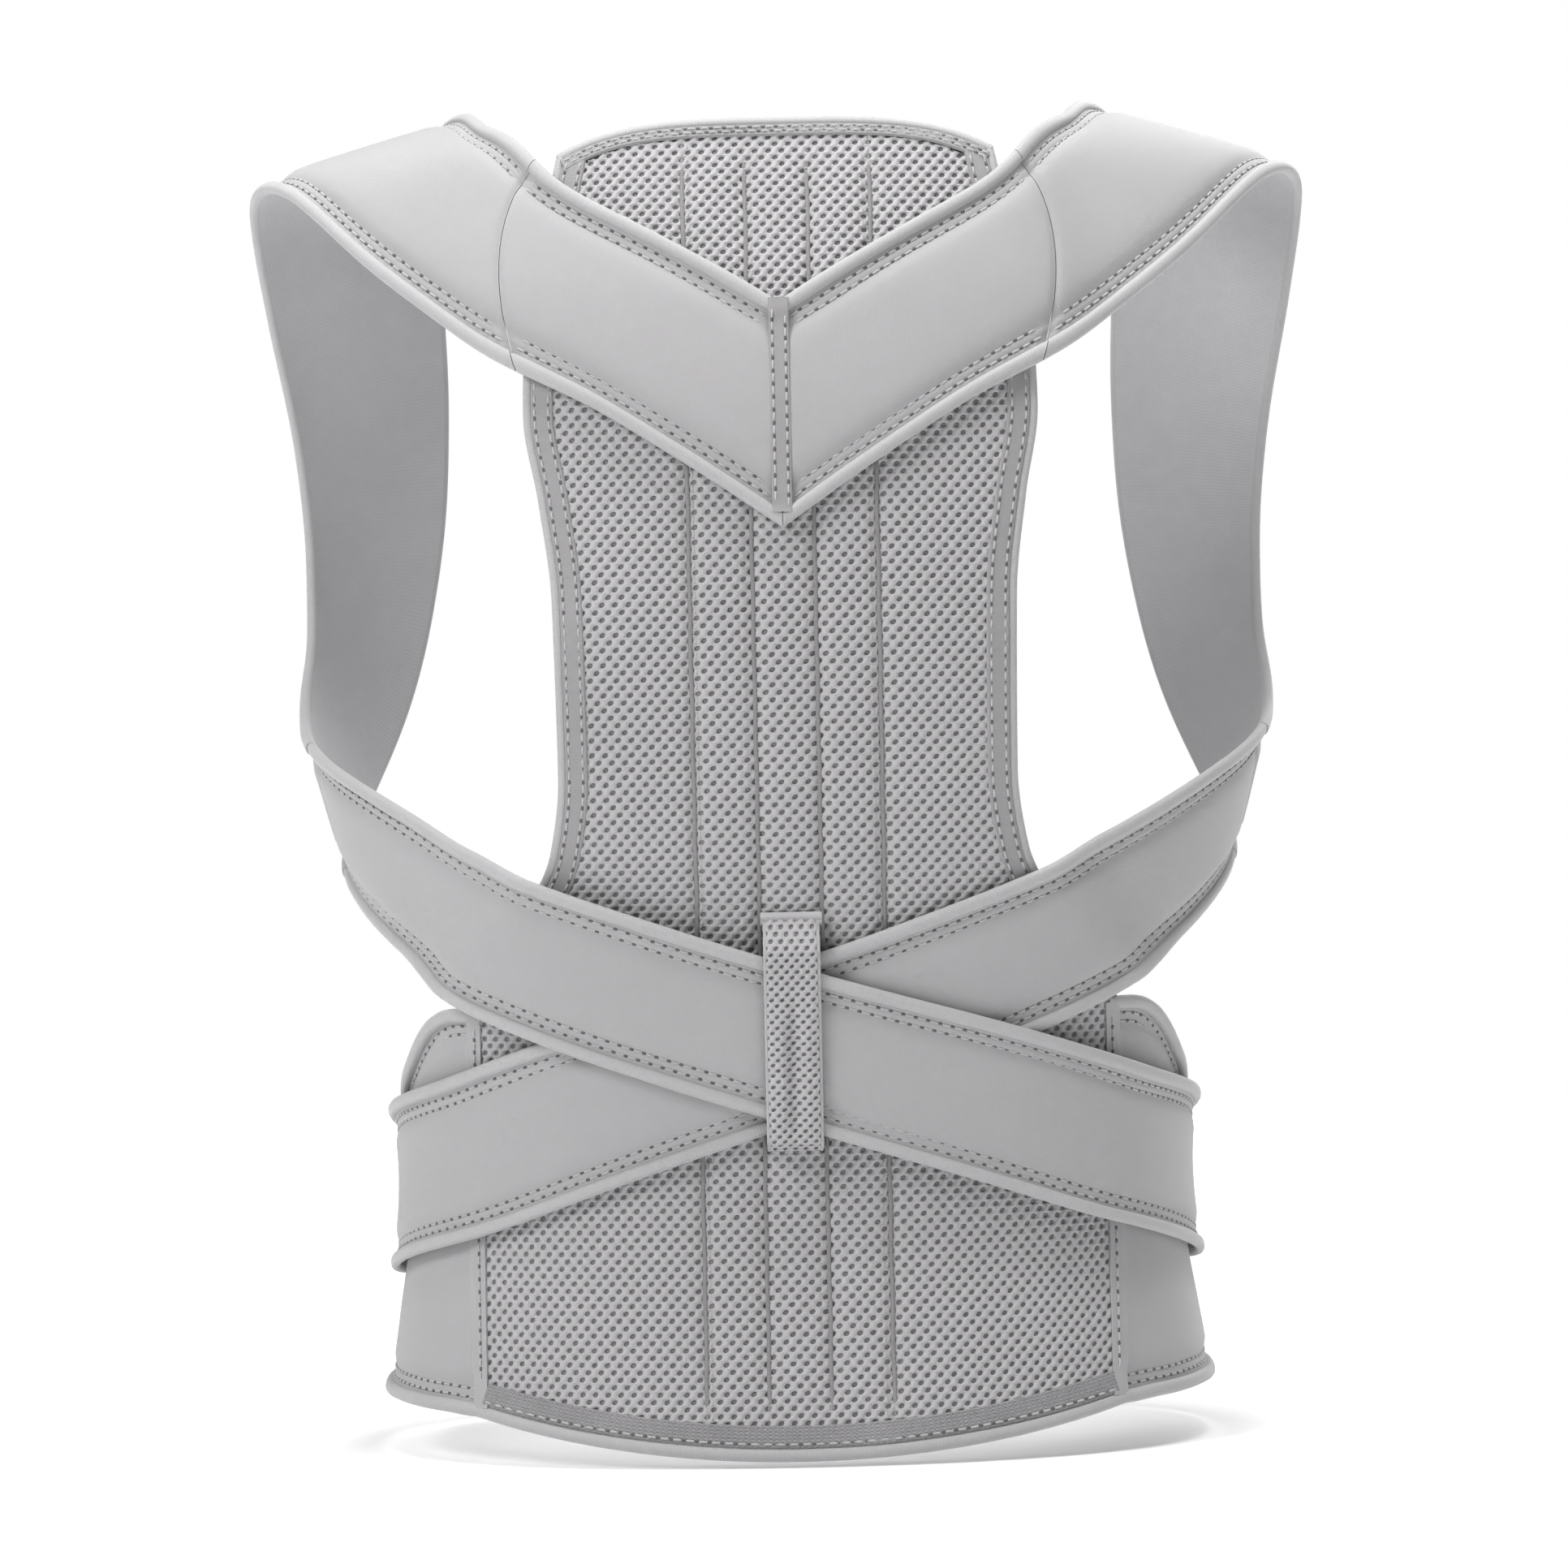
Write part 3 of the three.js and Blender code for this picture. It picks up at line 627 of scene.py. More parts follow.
@dataclass(frozen=True)
class FlatCut:
    """The size that a sheet of cloth was cut to before it was sewn in, in metres and square metres."""

    width: float
    length: float
    area: float

    @classmethod
    def of(cls, cloth: Cloth) -> "FlatCut":
        """The cut of the sheet that covers a cloth's places.

        Args:
            cloth: the places.

        Returns:
            The width, length and area.
        """
        width, length = float(np.ptp(cloth.across, axis=1).max()) * MM, float(np.ptp(cloth.along)) * MM
        first, second = cloth.at[1:, 1:] - cloth.at[:-1, :-1], cloth.at[1:, :-1] - cloth.at[:-1, 1:]
        area = float(np.linalg.norm(np.cross(first, second), axis=-1).sum() / 2) * MM**2
        return cls(width, length, min(area, width * length))

    def declare(self, piece: Piece, rests_on: Sequence[str], trim: Sequence[Piece] = ()) -> None:
        """Does nothing; a piece of this cut is not marked as a sheet.

        Args:
            piece: not used.
            rests_on: not used.
            trim: not used.
        """


ROUTE = StrapRoute()


def mirrored(points: Grid, side: Side) -> Grid:
    """Points made for the right, on the given side."""
    return points * [side.value, 1, 1]


def linked(name: str, data: bpy.types.ID) -> Piece:
    """An object of some data, put into the scene.

    Args:
        name: the object's name.
        data: its mesh, light or camera.

    Returns:
        The object.
    """
    made = bpy.data.objects.new(name, data)
    bpy.context.collection.objects.link(made)
    return made


def coordinates(mesh: bpy.types.Mesh) -> Grid:
    """The places of a mesh's points.

    Args:
        mesh: the mesh.

    Returns:
        The places, in metres.
    """
    points = np.empty(len(mesh.vertices) * 3)
    mesh.vertices.foreach_get("co", points)
    return points.reshape(-1, 3)


def unwrap(mesh: bpy.types.Mesh, flat: Grid) -> None:
    """Gives a mesh its UV map, from the place of each of its points in the flat cloth.

    Args:
        mesh: the mesh.
        flat: each point's place, in metres.
    """
    layer = mesh.uv_layers.new(name="flat")
    corners = np.empty(len(mesh.loops), int)
    mesh.loops.foreach_get("vertex_index", corners)
    layer.data.foreach_set("uv", flat[corners].ravel())


@dataclass
class Surface:
    """A mesh in the making: places in millimetres, faces, and each corner's place in the flat cloth."""

    name: str
    points: list[Grid] = field(default_factory=list)
    flat: list[Grid] = field(default_factory=list)
    faces: list[tuple[int, ...]] = field(default_factory=list)
    count: int = 0

    def add(self, points: Grid, flat: Grid) -> Grid:
        """Adds a grid of points and returns their numbers in the same grid.

        Args:
            points: the grid, with x, y and z last.
            flat: their places in the flat cloth.

        Returns:
            The points' numbers.
        """
        numbers = self.count + np.arange(points[..., 0].size).reshape(points.shape[:-1])
        self.points.append(points.reshape(-1, 3))
        self.flat.append(np.broadcast_to(flat, points.shape[:-1] + (2,)).reshape(-1, 2))
        self.count += numbers.size
        return numbers

    def quads(self, numbers: Grid, around: bool = False) -> None:
        """Joins a grid's neighbours by four-sided faces, round from the last column to the first if asked.

        Args:
            numbers: the grid's point numbers.
            around: whether its last column meets its first.
        """
        grid = np.concatenate([numbers, numbers[:, :1]], 1) if around else numbers
        a, b, c, d = grid[:-1, :-1], grid[:-1, 1:], grid[1:, 1:], grid[1:, :-1]
        self.faces += [tuple(f) for f in np.stack([a, b, c, d], -1).reshape(-1, 4).tolist()]

    def cap(self, ring: Grid) -> None:
        """Closes the end of a tube with one face."""
        self.faces.append(tuple(int(n) for n in ring))

    def make(self, smooth_angle: float = 40.0) -> Piece:
        """Makes the object, with its faces outwards.

        Args:
            smooth_angle: the sharpest edge in degrees that is still shaded smooth.

        Returns:
            The object, with a UV map in metres of flat cloth.
        """
        points = np.concatenate(self.points) * MM
        mesh = bpy.data.meshes.new(self.name)
        mesh.from_pydata(points.tolist(), [], self.faces)
        unwrap(mesh, np.concatenate(self.flat) * MM)
        face_outwards(mesh)
        mesh.shade_smooth()
        mesh.set_sharp_from_angle(angle=math.radians(smooth_angle))
        return linked(self.name, mesh)


def lined(name: str, cloth: Cloth, height: Grid, thickness: float, step: tuple[int, int]) -> tuple[Piece, Piece]:
    """A padded piece in two parts: the cloth with its padding, and the lining under it.

    Args:
        name: the start of the pieces' names.
        cloth: the places.
        height: height of the outer face.
        thickness: of the lining.
        step: which of the rows and columns the smoother lining keeps.

    Returns:
        The cloth and the lining.
    """
    split = np.full_like(height, thickness)
    outer = slab(name + "_cloth", cloth, split, height)
    return outer, slab(name + "_lining", cloth, np.zeros_like(height), split, step)


def face_outwards(mesh: bpy.types.Mesh) -> None:
    """Turns a closed mesh's faces outwards, by the sign of its volume.

    Args:
        mesh: a closed mesh.
    """
    mesh.calc_loop_triangles()
    points = coordinates(mesh)
    triangles = np.empty(len(mesh.loop_triangles) * 3, int)
    mesh.loop_triangles.foreach_get("vertices", triangles)
    a, b, c = (points[triangles.reshape(-1, 3)[:, k]] for k in range(3))
    if (a * np.cross(b, c)).sum() < 0:
        mesh.flip_normals()
    mesh.update()


def tube(name: str, rings: Grid, flat: Grid, smooth_angle: float = 50.0) -> Piece:
    """A closed solid through a row of rings, with both ends closed.

    Args:
        name: the piece's name.
        rings: the points, one row for each ring.
        flat: their places in the flat cloth.
        smooth_angle: the sharpest edge in degrees that is still shaded smooth.

    Returns:
        The piece.
    """
    surface = Surface(name)
    numbers = surface.add(rings, flat)
    surface.quads(numbers, around=True)
    surface.cap(numbers[0])
    surface.cap(numbers[-1][::-1])
    return surface.make(smooth_angle)


def slab(name: str, cloth: Cloth, under: Grid, over: Grid, step: tuple[int, int] = (1, 1)) -> Piece:
    """A closed solid between two heights over a cloth's places.

    Args:
        name: the piece's name.
        cloth: the places.
        under: height of its lower face.
        over: height of its upper face.
        step: which of the rows and columns it keeps, so that a smooth piece has fewer faces.

    Returns:
        The piece.
    """
    kept = np.ix_(*(np.unique([*range(0, count, every), count - 1]) for count, every in zip(under.shape, step)))
    cloth = Cloth(*(grid[kept] for grid in cloth.grids))
    under, over = under[kept], over[kept]
    surface = Surface(name)
    flat = np.stack([cloth.across, cloth.along], -1)
    top = surface.add(cloth.raised(over), flat)
    low = surface.add(cloth.raised(under), flat)
    surface.quads(top)
    surface.quads(low[:, ::-1])
    for a, b in ((top[0][::-1], low[0][::-1]), (top[-1], low[-1]), (top[:, 0], low[:, 0])):
        surface.quads(np.stack([a, b]))
    surface.quads(np.stack([top[::-1, -1], low[::-1, -1]]))
    return surface.make()


class EdgeLine:
    """A line along an edge of a piece, from which trim is laid inwards over the cloth."""

    def __init__(self, points: Grid, inwards: Sequence[float], spacing: float = 2.4) -> None:
        """Lays the line out evenly on the trunk.

        Args:
            points: the edge's points, in order.
            inwards: a point that lies on the cloth's side of the line's middle.
            spacing: the distance between the line's places.
        """
        along = flat_lengths(points)
        count = max(4, int(round(along[-1] / spacing)))
        self.along = np.linspace(0.0, along[-1], count + 1)
        even = np.stack([np.interp(self.along, along, points[:, k]) for k in range(3)], -1)
        self.at, self.out = TRUNK.onto(even)
        ahead = np.gradient(self.at, axis=0)
        self.ahead = ahead / np.linalg.norm(ahead, axis=-1, keepdims=True)
        self.inward = np.cross(self.out, self.ahead)
        self.inward /= np.linalg.norm(self.inward, axis=-1, keepdims=True)
        middle = len(self.at) // 2
        if (self.inward[middle] * (np.asarray(inwards) - self.at[middle])).sum() < 0:
            self.inward = -self.inward

    def places(self, inset: Grid, lift: Optional[Callable[[Grid], Grid]] = None) -> Cloth:
        """The places at distances in from the edge, one column for each.

        Args:
            inset: the distances in from the edge.
            lift: gives the lift at some places.

        Returns:
            The places, as a cloth.
        """
        points = self.at[:, None] + self.inward[:, None] * np.asarray(inset, float)[None, :, None]
        at, out = TRUNK.onto(points)
        along = np.broadcast_to(self.along[:, None], at.shape[:-1])
        across = np.broadcast_to(np.asarray(inset, float)[None, :], at.shape[:-1])
        return Cloth(at, out, lift(at) if lift else np.zeros(at.shape[:-1]), along, across)


@dataclass(frozen=True)
class SewnEdge:
    """How a padded piece is sewn beside its rolled edge: two rows in a flattened band, with the padding inside it."""

    rows: tuple[float, float] = (6.2, 9.1)
    dip: float = 0.4
    flat_share: float = 0.6

    def height(self, inset: Grid, thickness: float) -> Grid:
        """Height of the outer face at distances in from the edge.

        Args:
            inset: distances in from the edge.
            thickness: the piece's full thickness.

        Returns:
            The heights.
        """
        height = thickness * (self.flat_share + (1 - self.flat_share) * ramp((inset - 9.0) / 5.0))
        for row in self.rows:
            height = height - self.dip * bump(inset - row, 0.8)
        return height

    def sew(self, cloth: Cloth, thickness: float, raised: float = 0.16) -> list["Row"]:
        """The rows of stitches, down a cloth whose columns lie on them."""
        heights = self.height(np.array(self.rows), thickness) + raised
        return [stitch_row(cloth, k, heights[k], start=2.2 + 2.1 * k) for k in range(len(self.rows))]


SEWN = SewnEdge()


def roll_profile(thickness: float, width: float = BINDING_WIDTH, sides: int = 14) -> Grid:
    """The section of a rolled edge: distances in from the edge and heights, in order round it.

    Args:
        thickness: of the cloth that it closes.
        width: of the roll.
        sides: how many corners it has.

    Returns:
        The section's corners.
    """
    angle = round_section(sides)
    height = (thickness + LAYERS.rise) / 2
    wide = squared(np.cos(angle), 0.85)
    tall = squared(np.sin(angle), 0.85)
    return np.stack([width / 2 * (1 - wide), height * (1 + tall)], -1)


def band_profile(start: float, end: float, low: float, high: float) -> Grid:
    """The section of a flat band with softened edges, in order round it.

    Args:
        start: its first distance from the edge.
        end: its last.
        low: its lower height.
        high: its upper height.

    Returns:
        The section's corners.
    """
    soft = min(0.5, (high - low) / 2)
    inner = np.linspace(start + soft, end - soft, 7)
    top = [(x, high) for x in inner]
    foot = [(x, low) for x in inner[::-3]]
    return np.array([(start, (low + high) / 2), *top, (end, (low + high) / 2), *foot])


def rolled_edge(
    name: str, cloth: Cloth, profile: Grid, gather: Grid, side: Side = Side.RIGHT, girth: float = 12.0
) -> Piece:
    """A rolled edge, whose section follows a cloth.

    Args:
        name: the piece's name.
        cloth: the places, one column for each corner of the section.
        profile: the section.
        gather: how much fuller the edge is at each row.
        side: where it lies, made for the right.
        girth: the distance round the section.

    Returns:
        The piece.
    """
    height = profile[None, :, 1] * (1 + gather[:, None])
    turns = np.broadcast_to(np.linspace(0, girth, len(profile)), cloth.lift.shape)
    return tube(name, mirrored(cloth.raised(height), side), np.stack([turns, cloth.along], -1))


def flat_band(name: str, line: EdgeLine, profile: Grid, gather: Grid, outside: bool) -> Piece:
    """A flat band along an edge.

    Args:
        name: the piece's name.
        line: the edge.
        profile: the band's section.
        gather: how far its stitches draw its free face up or down at each place.
        outside: whether its free face lies on the outside.

    Returns:
        The piece.
    """
    cloth, height = line.places(profile[:, 0]), profile[None, :, 1]
    wave = gather[:, None] * (height > 3.0 if outside else height < 0.0)
    return tube(name, cloth.raised(height + wave), np.stack([cloth.across, cloth.along], -1))


def pucker(along: Grid, depth: float, phase: float = 0.0) -> Grid:
    """The small gathers that a row of stitches draws into an edge."""
    slow = 0.5 * np.sin(along / 17.0 + phase) + 0.3 * np.sin(along / 7.3 + 2 * phase)
    return depth * (np.cos(2 * math.pi * along / STITCH_PITCH) * 0.5 + slow)


def drape(along: Grid, across: Grid, depth: float, phase: float) -> Grid:
    """The shallow waves that cloth keeps after it is pulled tight."""
    waves = np.sin(along / 31.0 + across / 19.0 + phase) + 0.6 * np.sin(along / 17.0 - across / 13.0 + 2.1 * phase)
    return depth * (waves + 0.4 * np.sin(across / 7.0 + along / 47.0 + phase))


class Tree:
    """A node tree in the making, with nodes joined by the names of their sockets."""

    def __init__(self, tree: NodeTree) -> None:
        """Starts on an empty tree."""
        self.tree = tree
        tree.nodes.clear()

    def node(self, kind: str, settings: Optional[dict] = None, **inputs: object) -> bpy.types.Node:
        """Adds a node.

        Args:
            kind: the node's type.
            settings: values of the node's own properties.
            inputs: what goes into each input socket, a value or another node's socket. A name has _ for a
                space, and ends in a number where several sockets share it.

        Returns:
            The node.
        """
        made = self.tree.nodes.new(kind)
        for key, value in (settings or {}).items():
            setattr(made, key, value)
        for key, value in inputs.items():
            self.join(value, self.find(made, key))
        return made

    def join(self, value: object, socket: Socket) -> None:
        """Sets an input socket, or links it to another node's socket.

        Args:
            value: a value or another node's socket.
            socket: the input.
        """
        if isinstance(value, Socket):
            self.tree.links.new(value, socket)
        else:
            socket.default_value = value

    @staticmethod
    def find(node: bpy.types.Node, key: str) -> Socket:
        """The input socket that a name and its number stand for.

        Args:
            node: the node.
            key: the name, with _ for a space, and __ before its number.

        Returns:
            The socket.
        """
        name, _, number = key.rpartition("__")
        wanted = (name or number).replace("_", " ")
        index = int(number) if name else 0
        shown = [s for s in node.inputs if s.name == wanted and s.enabled]
        return shown[index]

    def math(self, operation: str, first: object, second: object = 0.0, third: object = 0.0) -> Socket:
        """The result of a Math node.

        Args:
            operation: the node's operation.
            first: a value or another node's socket.
            second: the same for its second input.
            third: the same for its third.

        Returns:
            The node's output.
        """
        made = self.node("ShaderNodeMath", {"operation": operation})
        for socket, value in zip(made.inputs, (first, second, third)):
            self.join(value, socket)
        return made.outputs[0]

    def times(self, first: object, second: object) -> Socket:
        """The product of two values or sockets."""
        return self.math("MULTIPLY", first, second)

    def plus(self, first: object, second: object) -> Socket:
        """The sum of two values or sockets."""
        return self.math("ADD", first, second)

    def scaled(self, vector: Socket, factor: Socket) -> Socket:
        """A vector or colour times a number.

        Args:
            vector: the vector or colour.
            factor: the number.

        Returns:
            The node's output.
        """
        made = self.node("ShaderNodeVectorMath", {"operation": "SCALE"})
        self.join(vector, made.inputs[0])
        self.join(factor, made.inputs["Scale"])
        return made.outputs[0]


def new_tree(
    name: str, kind: str, inputs: dict[str, tuple], outputs: dict[str, str]
) -> tuple[Tree, bpy.types.bpy_prop_collection]:
    """An empty node tree with its named sockets.

    Args:
        name: the tree's name.
        kind: Shader or Geometry.
        inputs: each input's name, with its type and start value.
        outputs: each output's name and type.

    Returns:
        The tree, and the sockets of its input node.
    """
    group = bpy.data.node_groups.new(name, kind + "NodeTree")
    for key, (socket_type, value) in inputs.items():
        socket = group.interface.new_socket(name=key, in_out="INPUT", socket_type="NodeSocket" + socket_type)
        if value is not None:
            socket.default_value = value
    for key, socket_type in outputs.items():
        group.interface.new_socket(name=key, in_out="OUTPUT", socket_type="NodeSocket" + socket_type)
    tree = Tree(group)
    return tree, tree.node("NodeGroupInput").outputs


class ShaderGroups:
    """The effects that several cloths share."""

    def __init__(self) -> None:
        """Builds each group once."""
        self.knit = self.build_knit()
        self.mottle = self.build_mottle()
        self.ribs = self.build_ribs()

    def build_knit(self) -> NodeTree:
        """A fine knit: staggered loops in the flat cloth.

        Returns:
            The group.
        """
        tree, given = new_tree(
            "knit loops", "Shader",
            {"Wale": ("Float", 0.0008), "Course": ("Float", 0.0006)},
            {"Height": "Float", "Shade": "Float"},
        )
        flat = tree.node("ShaderNodeUVMap", {"uv_map": "flat"}).outputs["UV"]
        parts = tree.node("ShaderNodeSeparateXYZ", Vector=flat)
        wale = tree.math("DIVIDE", parts.outputs["X"], given["Wale"])
        course = tree.math("DIVIDE", parts.outputs["Y"], given["Course"])
        wave = tree.math("SINE", tree.times(wale, 2 * math.pi))
        bend = tree.times(tree.math("ABSOLUTE", wave), 0.5)
        rows = tree.math("SINE", tree.times(tree.plus(course, bend), 2 * math.pi))
        columns = tree.times(tree.math("ABSOLUTE", wave), 0.6)
        height = tree.plus(tree.times(rows, 0.5), columns)
        grain = tree.node("ShaderNodeTexNoise", Vector=flat, Scale=2600.0, Detail=2.0)
        height = tree.plus(height, tree.times(grain.outputs["Fac"], 0.7))
        # Painted shade: the knit's low parts are darker and its raised loops lighter.
        shade = tree.math("MULTIPLY_ADD", height, 0.28, 0.35)
        tree.node("NodeGroupOutput", Height=height, Shade=shade)
        return tree.tree

    def build_mottle(self) -> NodeTree:
        """The slow change of tone over worn and handled cloth, and the painted shade of the relief's hollows, from
        Shade.

        Returns:
            The group.
        """
        tree, given = new_tree(
            "mottled tone", "Shader",
            {"Tone": ("Color", (0.5, 0.5, 0.5, 1)), "Strength": ("Float", 0.1),
             "Shade": ("Float", 0.5)},
            {"Color": "Color", "Roughness": "Float"},
        )
        place = tree.node("ShaderNodeTexCoord").outputs["Object"]
        broad = tree.node("ShaderNodeTexNoise", Vector=place, Scale=14.0, Detail=3.0, Roughness=0.55)
        fine = tree.node("ShaderNodeTexNoise", Vector=place, Scale=160.0, Detail=2.0)
        slow = tree.times(broad.outputs["Fac"], 0.75)
        both = tree.plus(slow, tree.times(fine.outputs["Fac"], 0.25))
        # Painted shade: the relief's hollows darken the tone and its crests lighten it.
        relief = tree.times(tree.math("SUBTRACT", given["Shade"], 0.5), 0.6)
        both = tree.plus(both, relief)
        change = tree.times(tree.math("SUBTRACT", both, 0.5), given["Strength"])
        level = tree.plus(1.0, change)
        tinted = tree.scaled(given["Tone"], level)
        rough = tree.math("MULTIPLY_ADD", both, 0.16, 0.56)
        tree.node("NodeGroupOutput", Color=tinted, Roughness=rough)
        return tree.tree

    def build_ribs(self) -> NodeTree:
        """The fine ribs of an elastic edging, across its length.

        Returns:
            The group.
        """
        tree, given = new_tree(
            "edging ribs", "Shader",
            {"Pitch": ("Float", 0.0009)},
            {"Height": "Float", "Shade": "Float"},
        )
        flat = tree.node("ShaderNodeUVMap", {"uv_map": "flat"}).outputs["UV"]
        parts = tree.node("ShaderNodeSeparateXYZ", Vector=flat)
        drift = tree.node("ShaderNodeTexNoise", Vector=flat, Scale=220.0, Detail=1.0).outputs["Fac"]
        turns = tree.plus(tree.math("DIVIDE", parts.outputs["Y"], given["Pitch"]), drift)
        rib = tree.math("SINE", tree.times(turns, 2 * math.pi))
        grain = tree.node("ShaderNodeTexNoise", Vector=flat, Scale=3000.0, Detail=2.0)
        height = tree.plus(tree.times(rib, 0.5), tree.times(grain.outputs["Fac"], 0.8))
        # Painted shade: the ribs' hollows are darker and their crests lighter.
        shade = tree.math("MULTIPLY_ADD", height, 0.3, 0.38)
        tree.node("NodeGroupOutput", Height=height, Shade=shade)
        return tree.tree


class Pattern(Enum):
    """The relief that a finish has."""

    KNIT = "knit"
    RIBS = "ribs"


@dataclass(frozen=True)
class Finish:
    """One finish of cloth or thread."""

    name: str
    tone: tuple[float, float, float]
    pattern: Pattern
    across: float = 0.8
    along: float = 0.6
    depth: float = 0.06
    strength: float = 0.16
    sheen: float = 0.25

    def material(self, groups: ShaderGroups) -> Material:
        """Makes the material, with its tone, roughness and relief from its nodes.

        Args:
            groups: the shared effects.

        Returns:
            The material.
        """
        made = bpy.data.materials.new(self.name)
        made.use_nodes = True
        tree = Tree(made.node_tree)
        shader = tree.node("ShaderNodeBsdfPrincipled")
        shader.inputs["Sheen Weight"].default_value = self.sheen
        shader.inputs["Sheen Roughness"].default_value = 0.45
        shader.inputs["Specular IOR Level"].default_value = 0.35
        tone = tree.node(
            "ShaderNodeGroup", {"node_tree": groups.mottle}, Tone=(*self.tone, 1.0), Strength=self.strength
        )
        tree.join(tone.outputs["Color"], shader.inputs["Base Color"])
        tree.join(tone.outputs["Roughness"], shader.inputs["Roughness"])
        if self.pattern is Pattern.KNIT:
            group, sizes = groups.knit, {"Wale": self.across * MM, "Course": self.along * MM}
        else:
            group, sizes = groups.ribs, {"Pitch": self.along * MM}
        relief = tree.node("ShaderNodeGroup", {"node_tree": group}, **sizes).outputs
        # Painted shade: the relief's Shade darkens its hollows in the tone.
        tree.join(relief["Shade"], tone.inputs["Shade"])
        raised = tree.node("ShaderNodeBump", Height=relief["Height"], Distance=self.depth * MM, Strength=0.8)
        tree.join(raised.outputs["Normal"], shader.inputs["Normal"])
        output = tree.node("ShaderNodeOutputMaterial")
        tree.join(shader.outputs["BSDF"], output.inputs["Surface"])
        return made


class Finishes:
    """Every finish of the brace, as materials."""

    def __init__(self) -> None:
        """Builds the shared groups and each material."""
        groups = ShaderGroups()
        make = {
            "laminate": Finish("brushed laminate", (0.335, 0.33, 0.336), Pattern.KNIT, 0.9, 0.7, 0.05, 0.14, 0.3),
            "trim": Finish("trim laminate", (0.275, 0.27, 0.275), Pattern.KNIT, 0.9, 0.7, 0.08, 0.3, 0.2),
            "yarn": Finish("mesh yarn", (0.4, 0.392, 0.4), Pattern.KNIT, 0.5, 0.45, 0.05, 0.25, 0.2),
            # The spacer layer is real padding, but its dark tone is painted shade: the shade seen down the mesh's
            # holes.
            "core": Finish("spacer core", (0.2, 0.196, 0.2), Pattern.KNIT, 0.7, 0.7, 0.1, 0.5, 0.0),
            # The seam line's dark tone is painted shade: it stands for the shade in the crease along each seam.
            "seam": Finish("sunken seam", (0.21, 0.206, 0.208), Pattern.RIBS, 1.0, 0.8, 0.06, 0.4, 0.0),
            "lining": Finish("lining knit", (0.4, 0.4, 0.41), Pattern.KNIT, 1.6, 1.2, 0.12, 0.3, 0.2),
            "inner": Finish("inner spacer knit", (0.37, 0.37, 0.38), Pattern.KNIT, 2.6, 2.2, 0.35, 0.7, 0.2),
            # The hem band's coarse knit relief is its own, but its darker tone is painted shade of the hollow above
            # the hem's rolled edge.
            "hem": Finish("folded mesh hem", (0.25, 0.245, 0.25), Pattern.KNIT, 2.4, 2.0, 0.45, 0.8, 0.1),
            "edging": Finish("elastic edging", (0.36, 0.356, 0.362), Pattern.RIBS, 1.0, 1.1, 0.05, 0.2, 0.3),
            "thread": Finish("sewing thread", (0.42, 0.415, 0.42), Pattern.RIBS, 0.5, 0.5, 0.04, 0.2, 0.1),
            # Needle holes are dark discs on the cloth: the dark is painted shade for the pits between stitches.
            "hole": Finish("needle hole", (0.1, 0.098, 0.1), Pattern.KNIT, 0.5, 0.5, 0.02, 0.3, 0.0),
            "hooks": Finish("hook pile", (0.28, 0.28, 0.29), Pattern.KNIT, 1.5, 1.5, 0.3, 0.5, 0.0),
        }
        self.materials = {key: finish.material(groups) for key, finish in make.items()}

    def __getitem__(self, key: str) -> Material:
        """The material of a finish."""
        return self.materials[key]


